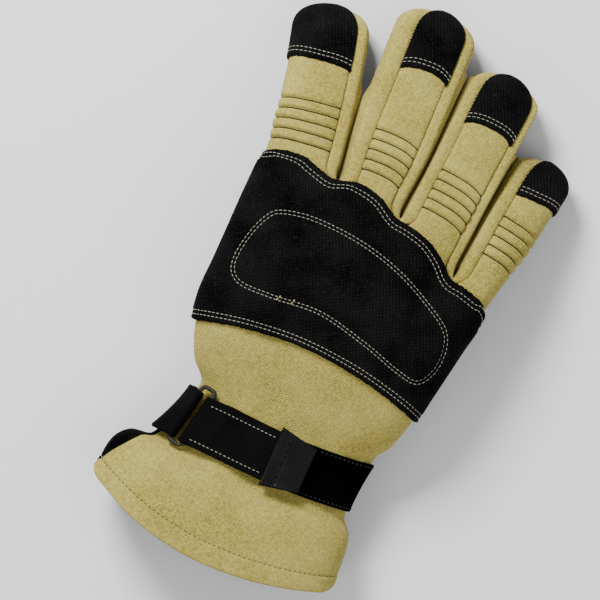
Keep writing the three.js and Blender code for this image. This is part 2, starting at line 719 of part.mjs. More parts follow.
// Rises of the webbing's middle above the cloth, from the angles round the wrist where it lies
const tabUnder = layerGap + strapThickness + seamGap + tabThickness / 2;
const strapOverTab = tabUnder + tabThickness / 2 + seamGap + strapThickness / 2;
const tabOver = strapOverTab + strapThickness / 2 + seamGap + tabThickness / 2;
const upperRise = layerMiddle + strapThickness + seamGap;
const strapLower = [-54, -36, -18, 0, 18, 36, 54, 72, 90, 108, 121];
const strapUpper = [
  { angle: 117, rise: upperRise + 0.75 * ringWire },
  { angle: 110, rise: upperRise },
  { angle: 100, rise: upperRise },
  { angle: 93, rise: strapOverTab },
  { angle: 83, rise: strapOverTab },
];

function strapRow(share) {
  const y = share * strapWidth / 2;
  return [
    ...strapLower.map((angle) => bodyPoint(y, degrees(angle), layerMiddle)),
    ...foldRound(y, 0, 1),
    ...strapUpper.map(({ angle, rise }) => bodyPoint(y, degrees(angle), rise)),
  ];
}

const anchorLower = [234, 216, 198, 180, 162];
const anchorUpper = [
  { angle: 158, rise: upperRise + 1.2 * ringWire },
  { angle: 167, rise: upperRise },
  { angle: 180, rise: upperRise },
];
function anchorRow(share) {
  const y = share * strapWidth / 2;
  return [
    ...anchorLower.map((angle) => bodyPoint(y, degrees(angle), layerMiddle)),
    ...foldRound(y, ringSpan, -1),
    ...anchorUpper.map(({ angle, rise }) => bodyPoint(y, degrees(angle), rise)),
  ];
}

// The pull tab is folded round the strap's free end and narrows towards its fold
const tabTaper = 0.24; // how much narrower it is at the fold
const tabEnd = 0.03 * wristWidth; // where its upper leaf starts, seen from above
function tabRow(share) {
  const point = (reach, rise) => {
    const y = share * tabWidth / 2 * (1 - tabTaper * reach);
    return bodyPoint(y, angleAt(y, tabEnd + reach * tabLength), rise);
  };
  const fold = (tabOver - tabUnder) / 2;
  const middle = (tabOver + tabUnder) / 2;
  const foldReach = 1 - fold / tabLength;
  const turns = [-60, -30, 0, 30, 60].map((turn) => point(
    foldReach + fold / tabLength * Math.cos(degrees(turn)),
    middle + fold * Math.sin(degrees(turn)),
  ));
  return [
    point(0.3, tabUnder),
    point(0.55, tabUnder),
    point(foldReach, tabUnder),
    ...turns,
    point(foldReach, tabOver),
    point(0.55, tabOver),
    point(0.25, tabOver),
    point(0, tabOver),
  ];
}

// Put the glove together
const plain = joined([body(0, 0), ...fingers.map((finger) => fingerSolid(finger, 0, false))]);
const ribbed = joined([body(0, 0), ...fingers.map((finger) => fingerSolid(finger, 0, true))]);
const inside = joined([
  body(-wall, cuffLength / 8),
  ...fingers.map((finger) => fingerSolid(finger, -wall, false)),
  thumbSolid(-wall),
]);
const lowerHalf = plain.subtract(inside).intersect(seamSlab(-seamGap / 2));
const upperSlab = seamSlab(seamGap / 2);
const upperHalf = ribbed.subtract(inside).subtract(upperSlab);
const plainUpperHalf = plain.subtract(inside).subtract(upperSlab);

const behindStrap = (y) => prism([
  new THREE.Vector2(-wide, -2 * cuffLength),
  new THREE.Vector2(wide, -2 * cuffLength),
  new THREE.Vector2(wide, y),
  new THREE.Vector2(-wide, y),
]);
const cuffZone = behindStrap(-seamGap / 2);
const notHandZone = behindStrap(seamGap / 2);

const cover = (grow) => joined([
  body(grow, 0),
  ...fingers.map((finger) => fingerSolid(finger, grow, false)),
]);
const guardBase = cover(seamGap);
const guardZone = prism(guardOutline());
const padZone = prism(handSpline(padEdge, true));
const guardSheet = cover(seamGap + guardThickness).intersect(guardZone);
const padSheet = cover(seamGap + guardThickness + padThickness).intersect(padZone);
const belowSeam = seamSlab(seamGap, guardThickness + padThickness);

// Between two fingers the guard bridges the slot, so nothing of it hangs down there
const slotDepths = joined(webs.map((web) => {
  const root = besideFinger(fingers[web.from], 0, 0.5, fingerSlot / 2);
  const box = new THREE.BoxGeometry(8 * fingerSlot, 0.4 * handLength, tall);
  box.translate(root.x, root.y, underPalm + 0.7 * handThickness - tall / 2);
  return toSolid(box);
}));

const thumbZone = prism([-0.3, 0, 0.2, 0.4, 0.6, 0.8, 1, 1.2].map((s) => {
  const middle = thumbPoint(Math.min(Math.max(s, 0), 1));
  const turn = thumbTurn(Math.min(Math.max(s, 0), 1));
  const past = (s - Math.min(Math.max(s, 0), 1)) * thumbLength;
  return new THREE.Vector2(
    middle.x + thumbSeam * thumbWidth * Math.cos(turn),
    middle.y - thumbSeam * thumbWidth * Math.sin(turn) + past,
  );
}).concat([new THREE.Vector2(-wide, 2 * handLength), new THREE.Vector2(-wide, -cuffLength)]));
const thumbShell = thumbSolid(0).subtract(body(seamGap, 0)).subtract(inside);

const webSheets = webs.map((web) => plainUpperHalf.intersect(prism(webOutline(web, 0))));
const webCuts = joined(webs.map((web) => prism(webOutline(web, seamGap))));
const capSheets = fingers.map((finger) => fingerSolid(finger, seamGap + capThickness, false)
  .subtract(fingerSolid(finger, seamGap, false))
  .intersect(prism(capOutline(finger)))
  .subtract(belowSeam));

const tan = { color: 0xc9bb7e, roughness: 0.95, metalness: 0 };
const black = { color: 0x18181a, roughness: 0.9, metalness: 0 };
const webbing = { color: 0x0d0d0f, roughness: 0.8, metalness: 0 };
const rubber = { color: 0x2a2a2e, roughness: 0.55, metalness: 0 };
const metal = { color: 0x8f8a6a, roughness: 0.4, metalness: 0.8 };

const glove = new THREE.Group();
function addPiece(name, solid, finish) {
  const mesh = new THREE.Mesh(toGeometry(solid), new THREE.MeshStandardMaterial(finish));
  mesh.name = name;
  glove.add(mesh);
}

function addPanel(handName, fingerName, solid, finish) {
  const [handPiece, ...fingerPieces] = partFingers(solid);
  addPiece(handName, handPiece, finish);
  fingerPieces.forEach((piece, i) => addPiece(`${fingerName}_${fingers[i].name}`, piece, finish));
}

addPanel('back_panel', 'finger_back', upperHalf.subtract(notHandZone).subtract(webCuts), tan);
webs.forEach((web, i) => {
  addPiece(`fourchette_${fingers[web.from].name}_${fingers[web.to].name}`, webSheets[i], tan);
});
addPanel('palm_panel', 'finger_front', lowerHalf.subtract(notHandZone), black);
addPiece('thumb_face', thumbShell.intersect(thumbZone), black);
addPiece('thumb_side', thumbShell.subtract(thumbZone), tan);
addPiece('cuff_back', upperHalf.intersect(cuffZone), tan);
addPiece('cuff_palm', lowerHalf.intersect(cuffZone), black);
const guard = guardSheet.add(padSheet).subtract(guardBase).subtract(belowSeam).subtract(slotDepths);
addPiece('knuckle_guard', guard, black);
fingers.forEach((finger, i) => addPiece(`cap_${finger.name}`, capSheets[i], black));
addPiece('wrist_strap', ribbon([-1, 0, 1].map(strapRow), strapThickness), webbing);
addPiece('anchor_loop', ribbon([-1, 0, 1].map(anchorRow), strapThickness), webbing);
addPiece('strap_ring', strapRing(), metal);
addPiece('pull_tab', ribbon([-1, 0, 1].map(tabRow), tabThickness), rubber);

// Stand the glove on the middle of its own footprint
const box = new THREE.Box3().setFromObject(glove);
const footprint = box.getCenter(new THREE.Vector3());
glove.position.set(-footprint.x, -footprint.y, -box.min.z);
glove.updateMatrixWorld(true);

export default glove;
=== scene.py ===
# Firefighter glove for the right hand, lying palm down. Shapes are worked out in millimetres in the
# pattern's own frame, x towards the little finger, y from the wrist strap to the fingertips, z up.
import math
from functools import partial
import bpy
import bmesh
import numpy as np
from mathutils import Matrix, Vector


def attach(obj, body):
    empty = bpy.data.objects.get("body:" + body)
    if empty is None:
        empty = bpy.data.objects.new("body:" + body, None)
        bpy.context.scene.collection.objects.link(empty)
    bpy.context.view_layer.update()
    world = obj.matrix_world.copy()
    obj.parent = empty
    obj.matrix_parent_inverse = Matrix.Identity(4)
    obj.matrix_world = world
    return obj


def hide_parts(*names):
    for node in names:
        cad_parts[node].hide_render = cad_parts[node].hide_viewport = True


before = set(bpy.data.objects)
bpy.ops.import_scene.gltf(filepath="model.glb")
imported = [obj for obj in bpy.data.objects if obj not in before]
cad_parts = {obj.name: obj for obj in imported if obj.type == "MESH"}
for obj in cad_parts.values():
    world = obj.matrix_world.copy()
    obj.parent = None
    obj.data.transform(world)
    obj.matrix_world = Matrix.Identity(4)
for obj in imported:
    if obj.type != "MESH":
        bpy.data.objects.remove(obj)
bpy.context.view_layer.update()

glove = {
    "shift": (-2.436, -94.821, 0.0),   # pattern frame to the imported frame
    "cuffLength": 68.0, "handLength": 147.0, "thumbLength": 112.0,
    "cuffWidth": 146.0, "wristWidth": 106.0, "handWidth": 142.0, "thumbWidth": 38.0,
    "handThickness": 36.0,
    "fingerThickness": 27.0, "thumbThickness": 22.0, "underPalm": 22.7,
    "strapWidth": 28.5, "fingerSlot": 1.1, "tipRound": 15.0, "tipSink": 0.6,
    "wall": 3.3,                       # shell, barrier and lining together
    "leastWall": 0.4,                  # where a deep groove would thin it
    "tipPower": 2.4, "tipFlat": 0.8,   # roundness of a fingertip from above and from the side
    "offFloor": 0.15,
    "seamGap": 0.3,
    "bodyFrom": 0.15,                  # half the gap between hand and cuff
}
cuff, hand = glove["cuffLength"], glove["handLength"]
wide, wrist, gauntlet = glove["handWidth"], glove["wristWidth"], glove["cuffWidth"]
under, thick = glove["underPalm"], glove["handThickness"]
strapEdge = 0.62 * glove["strapWidth"]

# Sections of cuff, wrist and hand: y, left, right, low, high, how far the left and right edges lie ahead,
# roundness of the corners, and the side seams' heights as shares of half the section's height
bodyTable = np.array([
    (-cuff, -0.562 * gauntlet, 0.445 * gauntlet, -2.0, 58.0, 0.29 * cuff, 0.2 * cuff, 2.2, 0.08, -0.2),
    (-0.66 * cuff, -0.535 * gauntlet, 0.434 * gauntlet, -2.0, 54.5, 0.2 * cuff, 0.14 * cuff, 2.2, 0.33, -0.2),
    (-0.4 * cuff, -0.478 * gauntlet, 0.411 * gauntlet, -1.2, 50.5, 0.12 * cuff, 0.08 * cuff, 2.2, 0.4, -0.2),
    (-strapEdge, -0.57 * wrist, 0.505 * wrist, 2.3, 44.5, 2, 4, 2.3, 0.3, -0.2),
    (strapEdge, -0.457 * wrist, 0.523 * wrist, 5.7, 42.7, 2, 4, 2.3, -0.2, -0.2),
    (0.21 * hand, -0.4 * wide, 0.427 * wide, 10.2, 46.2, 0, 0, 2.4, -0.25, -0.25),
    (0.31 * hand, -0.447 * wide, 0.454 * wide, 15.4, 51.4, 0, 0, 2.5, -0.25, -0.25),
    (0.44 * hand, -0.473 * wide, 0.473 * wide, 20.4, 56.4, 0, 0, 2.6, -0.25, -0.25),
    (0.56 * hand, -0.475 * wide, 0.487 * wide, under, under + thick, 0, -0.03 * hand, 2.6, -0.25, -0.25),
    (0.75 * hand, -0.477 * wide, 0.507 * wide, under, under + thick,
     -0.02 * hand, -0.09 * hand, 2.7, -0.25, -0.25),
    (0.9 * hand, -0.479 * wide, 0.521 * wide, under, under + 0.95 * thick,
     -0.035 * hand, -0.17 * hand, 2.7, -0.25, -0.25),
    (0.99 * hand, -0.475 * wide, 0.521 * wide, under + 0.1 * thick, under + 0.84 * thick,
     -0.02 * hand, -0.21 * hand, 2.6, -0.25, -0.25),
    (1.03 * hand, -0.45 * wide, 0.5 * wide, under + 0.25 * thick, under + 0.68 * thick,
     -0.02 * hand, -0.235 * hand, 2.4, -0.25, -0.25),
])

# left and right: how far in from that side the back panel ends and a side strip takes over, as a share of the
# width. ribStart is the first quilt line's distance from the finger's base and cap the cap's from its tip, in
# millimetres, and lean and slant are in degrees. widths lists the width from behind the web to the tip, as
# shares, at the places in fingerPlaces.
fingerPlaces = (-0.55, 0, 0.25, 0.5, 0.8, 1.2)
fingers = {
    "index": {"width": 41, "length": 85, "base": 1.02, "lean": -8.4, "bend": -0.083, "left": None,
              "right": 0.17, "ribStart": 9.5, "cap": 29, "thick": 1, "slant": -3,
              "widths": (0.98, 1, 1, 1, 1, 1)},
    "middle": {"width": 45.5, "length": 106.5, "base": 1.02, "lean": -2.7, "bend": 0, "left": 0.25,
               "right": 0.15, "ribStart": 11, "cap": 33, "thick": 1, "slant": 3,
               "widths": (0.8, 0.824, 0.965, 0.985, 1, 1)},
    "ring": {"width": 41, "length": 94.5, "base": 0.99, "lean": 2.7, "bend": 0, "left": 0.19,
             "right": 0.11, "ribStart": 9, "cap": 30, "thick": 0.97, "slant": 5,
             "widths": (0.93, 0.94, 0.945, 0.96, 1, 1)},
    "little": {"width": 33, "length": 75, "base": 0.895, "lean": 6.8, "bend": 0, "left": 0.29,
               "right": None, "ribStart": 14, "cap": 21, "thick": 0.92, "slant": 7,
               "widths": (0.69, 0.753, 0.85, 0.955, 1, 1)},
}
fingerSquare, fingerSeam = 2.6, -0.25

# Thumb from its root in the palm to its tip: share of length, across, up, width, thickness
thumbTable = np.array([
    (0, -0.25, 1.25, 1.12, 1.0), (0.14, -0.235, 0.95, 1.2, 1.12), (0.3, -0.21, 0.56, 1.16, 1.1),
    (0.45, -0.18, 0.5, 1.08, 1.02), (0.65, -0.14, 0.5, 1.0, 1.0), (0.88, -0.095, 0.5, 0.98, 1.0),
    (1, -0.075, 0.5, 0.98, 1.0),
])
thumbStart, thumbSeam = 0.24, 0.2

guardFront = [(-0.465, 0.993), (-0.415, 1.02), (-0.33, 1.034), (-0.25, 1.014), (-0.19, 1.003), (-0.1, 1.027),
              (-0.007, 1.014), (0.07, 0.973), (0.127, 0.966), (0.211, 0.946), (0.289, 0.905),
              (0.352, 0.857), (0.415, 0.844), (0.493, 0.816), (0.535, 0.776)]
guardRear = [(-0.48, 0.325), (-0.36, 0.36), (-0.232, 0.388), (-0.05, 0.408), (0.14, 0.401), (0.275, 0.381),
             (0.394, 0.354), (0.5, 0.318)]
padEdge = [(-0.408, 0.578), (-0.401, 0.694), (-0.359, 0.803), (-0.303, 0.837), (-0.183, 0.857), (0, 0.85),
           (0.176, 0.81), (0.345, 0.735), (0.423, 0.68), (0.45, 0.605), (0.444, 0.524), (0.401, 0.463),
           (0.317, 0.469), (0.162, 0.51), (-0.035, 0.544), (-0.232, 0.524), (-0.359, 0.524)]


# Small tools of arithmetic

def smooth(value, low, high):
    # Rises from 0 at low to 1 at high, flat at both ends
    t = np.clip((value - low) / (high - low), 0, 1)
    return t * t * (3 - 2 * t)


def hump(value, width):
    # A bell that is 1 where value is 0 and fades over width
    return np.exp(-(value / width) ** 2)


def between(table, place):
    # Rows of a table between its own rows, on a smooth cubic through them
    key = table[:, 0]
    place = np.clip(place, key[0], key[-1])
    b = np.clip(np.searchsorted(key, place, side="right") - 1, 0, len(key) - 2)
    a, c, d = np.maximum(b - 1, 0), b + 1, np.minimum(b + 2, len(key) - 1)
    span = key[c] - key[b]
    t = (place - key[b]) / span
    startSlope = (table[c] - table[a]) / (key[c] - key[a])[..., None]
    endSlope = (table[d] - table[b]) / (key[d] - key[b])[..., None]
    blend, lead, tail = t * t * (3 - 2 * t), t * (1 - t) ** 2 * span, t * t * (t - 1) * span
    return (table[b] * (1 - blend)[..., None] + table[c] * blend[..., None]
            + lead[..., None] * startSlope + tail[..., None] * endSlope)


def spline(points, count, closed=False):
    # Evenly spaced points on a cubic through the given ones, wrapped round where it is closed
    p = np.asarray(points, float)
    if closed:
        p = np.vstack([p, p[:1]])
    step = np.concatenate([[0], np.cumsum(np.sqrt(np.linalg.norm(np.diff(p, axis=0), axis=1)))])
    table = np.column_stack([step, p])
    if closed:
        ahead = np.column_stack([step[1:3] + step[-1], p[1:3]])
        behind = np.column_stack([step[-3:-1] - step[-1], p[-3:-1]])
        table = np.vstack([behind, table, ahead])
    fine = between(table, np.linspace(0, step[-1], 40 * len(p)))[:, 1:]
    return evenly(fine, count)


def evenly(points, count):
    # The same path at equal steps of its length
    run = np.concatenate([[0], np.cumsum(np.linalg.norm(np.diff(points, axis=0), axis=1))])
    want = np.linspace(0, run[-1], count)
    return np.column_stack([np.interp(want, run, points[:, i]) for i in range(points.shape[1])])


def ripple(x, y, seed, size):
    # Soft random waves: a few sine waves of about the given size in random directions
    draw = np.random.default_rng(seed)
    total = np.zeros(np.broadcast(x, y).shape)
    for _ in range(7):
        turn, phase = draw.uniform(0, 2 * math.pi, 2)
        length = size * draw.uniform(0.7, 1.7)
        total += np.sin(2 * math.pi * (x * math.cos(turn) + y * math.sin(turn)) / length + phase)
    return total / 7


def edgeRoll(distance, radius):
    # Quarter-round drop towards an edge, 0 at the edge and 1 a radius inside it
    t = np.clip(distance / radius, 0, 1)
    return np.sqrt(np.clip(1 - (1 - t) ** 2, 0, 1))


# Surfaces of the glove. Each gives points for a place along, an angle round the section and a rise
# above the cloth: a rounded section is half its width times cos, half its height times sin, each to
# a power that makes the corners squarer.

def rounded(angle, halfWidth, halfHeight, square):
    c, s = np.cos(angle), np.sin(angle)
    return halfWidth * np.sign(c) * np.abs(c) ** (2 / square), halfHeight * np.sign(s) * np.abs(s) ** (2 / square)


def aboveFloor(z, rise):
    # Keeps the cloth off the floor, and its inner face above the outer one by the cloth's thickness
    return np.maximum(z, np.where(rise < 0, -rise, glove["offFloor"]))


def tipShape(distance):
    # Share of the full section that is left at a distance from the tip
    share = np.clip(distance / glove["tipRound"], 0, 1)
    return np.maximum(1 - (1 - share) ** glove["tipPower"], 0) ** (1 / glove["tipPower"])


def toTip(reach, count, start=0.05, stop=math.pi / 2):
    # Places along the last part of a finger, closer together towards its tip
    return 1 - reach * (1 - np.sin(np.linspace(start, stop, count)))


def bodyRow(y):
    return np.moveaxis(between(bodyTable, np.asarray(y, float)), -1, 0)


def bodySkin(y, angle, rise=0.0):
    # Rounded sections along the cuff, wrist and hand, their edges bent ahead by a parabola
    y, angle, rise = np.broadcast_arrays(np.asarray(y, float), angle, rise)
    _, left, right, low, high, aheadLeft, aheadRight, square, _, _ = bodyRow(y)
    halfWidth, halfHeight = (right - left) / 2 + rise, (high - low) / 2 + rise
    across, up = rounded(angle, halfWidth, halfHeight, square)
    share = across / halfWidth
    ahead = np.where(share < 0, aheadLeft, aheadRight) * share ** 2
    web = smooth(y, 0.8 * hand, hand) * rise
    return np.stack([(left + right) / 2 + across, y + ahead + web, aboveFloor((low + high) / 2 + up, rise)], -1)


def bodyAt(y, angle, rise=0.0):
    # The same surface, with y the final place along the glove at that angle
    y, angle = np.broadcast_arrays(np.asarray(y, float), angle)
    start = y
    for _ in range(6):
        start = start + (y - bodySkin(start, angle, 0.0)[..., 1])
    return bodySkin(start, angle, rise)


def angleAt(y, across):
    # Angle round the section where the back lies at a place across, for a final place y
    start = np.asarray(y, float)
    for _ in range(6):
        _, left, right, _, _, aheadLeft, aheadRight, square, _, _ = bodyRow(start)
        share = np.clip(2 * (across - (left + right) / 2) / (right - left), -1, 1)
        start = y - np.where(share < 0, aheadLeft, aheadRight) * share ** 2
    return np.arccos(np.sign(share) * np.abs(share) ** (square / 2))


def bodySeams(y):
    # Angles of the right and the left side seam
    row = bodyRow(y)
    rise = [np.arcsin(np.sign(s) * np.abs(s) ** (row[7] / 2)) for s in (row[9], row[8])]
    return rise[0], math.pi - rise[1]


slot = glove["fingerSlot"]
baseWidths = {name: f["width"] * f["widths"][1] for name, f in fingers.items()}
baseAcross = {"middle": -0.052 * wide}
baseAcross["index"] = baseAcross["middle"] - baseWidths["middle"] / 2 - slot - baseWidths["index"] / 2
baseAcross["ring"] = baseAcross["middle"] + baseWidths["middle"] / 2 + slot + baseWidths["ring"] / 2
baseAcross["little"] = baseAcross["ring"] + baseWidths["ring"] / 2 + slot + baseWidths["little"] / 2


def fingerMiddle(name, s, rise=0.0):
    # Middle line of a finger: across, along, up, sideways turn, width, thickness
    f = fingers[name]
    s = np.asarray(s, float)
    along = np.where(s > 0, s * (f["length"] + rise), s * f["length"])
    reach = np.maximum(along / f["length"], 0)
    lean = math.radians(f["lean"])
    y = f["base"] * hand + along
    thickness = glove["fingerThickness"] * f["thick"] * (1.04 - 0.1 * np.maximum(s, 0))
    row = bodyRow(np.minimum(y, f["base"] * hand))
    root, tip = (row[3] + row[4]) / 2, thickness / 2 - glove["tipSink"]
    z = root + (tip - root) * np.clip(reach, 0, 1) ** 1.5
    x = baseAcross[name] + math.tan(lean) * along + f["bend"] * f["length"] * reach ** 2
    turn = np.arctan(math.tan(lean) + 2 * f["bend"] * reach)
    table = np.column_stack([fingerPlaces, f["widths"]])
    width = f["width"] * between(table, s)[..., 1]
    return x, y, z, turn, width, thickness


def fingerSkin(name, s, angle, rise=0.0):
    # Rounded sections along a finger's middle line, closing over the tip on a rounded curve
    s, angle, rise = np.broadcast_arrays(np.asarray(s, float), angle, rise)
    x, y, z, turn, width, thickness = fingerMiddle(name, s, rise)
    shape = tipShape((1 - s) * (fingers[name]["length"] + rise))
    across, up = rounded(angle, (width / 2 + rise) * shape, (thickness / 2 + rise) * shape ** glove["tipFlat"],
                         fingerSquare)
    return np.stack([x + across * np.cos(turn), y - across * np.sin(turn), aboveFloor(z + up, rise)], -1)


def fingerSeams(name):
    # Angles of the back panel's right and left edge on a finger
    side = math.asin(-abs(fingerSeam) ** (fingerSquare / 2))

    def edge(share, sign):
        inside = 1 - 2 * share
        return math.acos(sign * inside ** (fingerSquare / 2))
    f = fingers[name]
    right = side if f["right"] is None else edge(f["right"], 1)
    left = math.pi - side if f["left"] is None else edge(f["left"], -1)
    return right, left


def fingerTopAt(x, y):
    # Height of the highest finger's back over a place seen from above, far down beside the fingers
    top = np.full(np.shape(x), -99.0)
    for name, f in fingers.items():
        lean = math.radians(f["lean"])
        dx, dy = x - baseAcross[name], y - f["base"] * hand
        offset = math.cos(lean) * (dx - math.tan(lean) * dy)
        s = (dy + offset * math.sin(lean)) / f["length"]
        _, _, z, _, width, thickness = fingerMiddle(name, np.clip(s, -0.5, 1))
        share = np.abs(2 * offset / width)
        up = np.where(share < 1, (1 - np.minimum(share, 1) ** fingerSquare) ** (1 / fingerSquare), 0)
        sunk = 12 * (1 - smooth(s, -0.5, -0.25))      # fades out where the root ends inside the hand
        top = np.maximum(top, np.where((share < 1) & (s > -0.5), z + up * thickness / 2 - sunk, -99))
    return top


def thumbSkin(s, angle, rise=0.0):
    # Rounded sections along the thumb's line under the palm, closing over its boxy tip
    s, angle, rise = np.broadcast_arrays(np.asarray(s, float), angle, rise)
    row = np.moveaxis(between(thumbTable, s), -1, 0)
    length = glove["thumbLength"]

    def line(place):
        return between(thumbTable, place)[..., 1] * wide, thumbStart * hand + place * length * 0.93
    x, y = line(np.minimum(s, 1))
    xAhead, yAhead = line(np.minimum(s + 0.02, 1))
    xBehind, yBehind = line(np.maximum(s - 0.02, 0))
    turn = np.arctan2(xAhead - xBehind, yAhead - yBehind)
    y = y + np.where(s > 0.5, rise * (s - 0.5) * 2, 0)
    shape = tipShape((1 - s) * length)
    halfWidth = (row[3] * glove["thumbWidth"] / 2 + rise) * shape
    halfHeight = (row[4] * glove["thumbThickness"] / 2 + rise) * shape ** glove["tipFlat"]
    across, up = rounded(angle, halfWidth, halfHeight, fingerSquare)
    z = aboveFloor(row[2] * glove["thumbThickness"] + up, rise)
    return np.stack([x + across * np.cos(turn), y - across * np.sin(turn), z], -1)


# Meshes from grids of points

def gridFaces(rows, columns, start=0, flip=False):
    # Quads between neighbouring points of a grid that is stored row by row
    a = (np.arange(rows - 1)[:, None] * columns + np.arange(columns - 1)).ravel() + start
    quads = np.stack([a, a + 1, a + columns + 1, a + columns], 1)
    return quads[:, ::-1] if flip else quads


def shellMesh(outer, inner, rimSlot=0):
    # A sheet with two faces and a rim: the outer grid, the inner grid, and strips between their edges
    rows, columns, _ = outer.shape
    count = rows * columns
    index = np.arange(count).reshape(rows, columns)
    loop = np.concatenate([index[0, :-1], index[:-1, -1], index[-1, :0:-1], index[:0:-1, 0]])
    following = np.roll(loop, -1)
    rim = np.stack([following, loop, loop + count, following + count], 1)
    quads = np.vstack([gridFaces(rows, columns), gridFaces(rows, columns, count, True), rim])
    points = np.vstack([outer.reshape(-1, 3), inner.reshape(-1, 3)])
    side = np.repeat([0, 1, rimSlot], [(rows - 1) * (columns - 1), (rows - 1) * (columns - 1), len(rim)])
    return points, quads, side


def tubeMesh(path, radius, sides):
    # A round profile carried round a closed path, in a plane square to it
    ahead = np.roll(path, -1, 0) - np.roll(path, 1, 0)
    ahead /= np.linalg.norm(ahead, axis=1)[:, None]
    guide = np.where(np.abs(ahead[:, 2:3]) > 0.9, [[1.0, 0, 0]], [[0, 0, 1.0]])
    side = np.cross(ahead, guide)
    side /= np.linalg.norm(side, axis=1)[:, None]
    up = np.cross(side, ahead)
    turn = 2 * math.pi * np.arange(sides) / sides
    ring = side[:, None] * np.cos(turn)[None, :, None] + up[:, None] * np.sin(turn)[None, :, None]
    points = (path[:, None] + radius * ring).reshape(-1, 3)
    a = np.arange(len(path))[:, None] * sides + np.arange(sides)
    b = a - a % sides + (a + 1) % sides
    quads = np.stack([a, b, (b + sides) % len(points), (a + sides) % len(points)], -1).reshape(-1, 4)
    return points, quads


def addMesh(parts):
    # Several (points, faces, slots) as one
    points, faces, slots, start = [], [], [], 0
    for p, f, s in parts:
        points.append(p)
        faces.append(f + start)
        slots.append(np.broadcast_to(s, len(f)))
        start += len(p)
    return np.vstack(points), np.vstack(faces), np.concatenate(slots)


made = {}


def makePiece(name, parts, materials, replaces=(), tidy=True):
    # One object at the origin from (points, faces, slots) in the pattern's millimetres
    points, faces, slots = addMesh(parts)
    place = (points + np.array(glove["shift"])) * 0.001
    mesh = bpy.data.meshes.new(name)
    mesh.from_pydata(place, [], faces.tolist())
    mesh.polygons.foreach_set("material_index", slots.astype(np.int32))
    mesh.polygons.foreach_set("use_smooth", np.ones(len(faces), bool))
    for material in materials:
        mesh.materials.append(material)
    if tidy:                                       # closes the poles at the fingertips
        work = bmesh.new()
        work.from_mesh(mesh)
        bmesh.ops.remove_doubles(work, verts=work.verts, dist=1e-6)
        bmesh.ops.dissolve_degenerate(work, edges=work.edges, dist=1e-7)
        work.to_mesh(mesh)
        work.free()
    piece = bpy.data.objects.new(name, mesh)
    bpy.context.scene.collection.objects.link(piece)
    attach(piece, "root")
    if replaces:
        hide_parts(*replaces)
    made[name] = piece
    print("made", name, len(mesh.polygons))
    return piece


def facing(parts):
    # Turns a closed part's faces outwards where its volume comes out negative
    points, faces, slots = parts
    a, b, c, d = (points[faces[:, i]] for i in range(4))
    volume = (np.einsum("ij,ij->i", a, np.cross(b, c)) + np.einsum("ij,ij->i", a, np.cross(c, d))).sum()
    return (points, faces[:, ::-1] if volume < 0 else faces, slots)


def panel(surface, place, angle, look, relief, rimSlot=0):
    # A cloth panel over a grid of places and angles, which surface(place, angle, rise) turns into points.
    # look's edge says how far the edges roll under, roll over what width (negative where the panel's two
    # ends stay as they are), and wall how far below the surface the inner face lies.
    first = surface(place, angle, np.zeros(np.broadcast(place, angle).shape))
    acrossRun = np.cumsum(np.linalg.norm(np.diff(first, axis=1, prepend=first[:, :1]), axis=2), axis=1)
    alongRun = np.cumsum(np.linalg.norm(np.diff(first, axis=0, prepend=first[:1]), axis=2), axis=0)
    fromEdge = np.minimum(acrossRun, acrossRun[:, -1:] - acrossRun)
    near = np.minimum(fromEdge, np.minimum(alongRun, alongRun[-1:] - alongRun)) if look["roll"] > 0 else fromEdge
    rise = relief - look["edge"] * (1 - edgeRoll(near, abs(look["roll"])))
    outer = surface(place, angle, rise)
    inner = surface(place, angle, np.minimum(-look["wall"], rise - glove["leastWall"]))
    return facing(shellMesh(outer, inner, rimSlot))


def clustered(low, high, count, strength=0.6):
    # Places from low to high, closer together near both ends
    t = np.linspace(0, 1, count)
    eased = (1 - np.cos(math.pi * t)) / 2
    return low + (high - low) * (strength * eased + (1 - strength) * t)


def acrossShares(look, strength=0.5):
    return clustered(0, 1, look["columns"], strength)[None, :]


# Stitches

def stitches(path, length, gap, radius, lift=0.12, sag=0.12):
    # A row of thread stitches: each one a short capsule along the path, dipping at its ends
    path = np.asarray(path, float)
    total = np.linalg.norm(np.diff(path, axis=0), axis=1).sum()
    count = max(int(total / (length + gap)), 1)
    fine = evenly(path, count * 6 + 1)
    step = np.arange(count)[:, None] * 6
    reach = 6 * length / (length + gap)
    places = step + np.array([0.0, 0.18, 0.5, 0.82, 1.0]) * reach
    base = np.stack([np.interp(places, np.arange(len(fine)), fine[:, i]) for i in range(3)], -1)
    ahead = base[:, -1] - base[:, 0]
    ahead /= np.maximum(np.linalg.norm(ahead, axis=1), 1e-6)[:, None]
    side = np.cross(ahead, [0, 0, 1.0])
    side /= np.maximum(np.linalg.norm(side, axis=1), 1e-6)[:, None]
    up = np.cross(side, ahead)
    profile = radius * np.array([0.35, 0.85, 1.0, 0.85, 0.35])
    height = lift - sag * np.array([2.2, 0.6, 0, 0.6, 2.2])
    turn = 2 * math.pi * np.arange(6) / 6
    ring = side[:, None, None] * np.cos(turn)[:, None] + up[:, None, None] * np.sin(turn)[:, None]
    points = base[:, :, None] + up[:, None, None] * height[:, None, None] + profile[:, None, None] * ring
    rings = points.reshape(-1, 3)
    a = np.arange(4)[:, None] * 6 + np.arange(6)
    b = np.arange(4)[:, None] * 6 + (np.arange(6) + 1) % 6
    quads = np.stack([a, b, b + 6, a + 6], -1).reshape(-1, 4)
    caps = np.array([[3, 2, 1, 0], [5, 4, 3, 0], [24, 25, 26, 27], [24, 27, 28, 29]])
    one = np.vstack([quads, caps])
    faces = (one[None] + 30 * np.arange(count)[:, None, None]).reshape(-1, 4)
    return rings, faces, 0


whiteRow = {"length": 1.85, "gap": 0.65, "radius": 0.2}


# Finishes

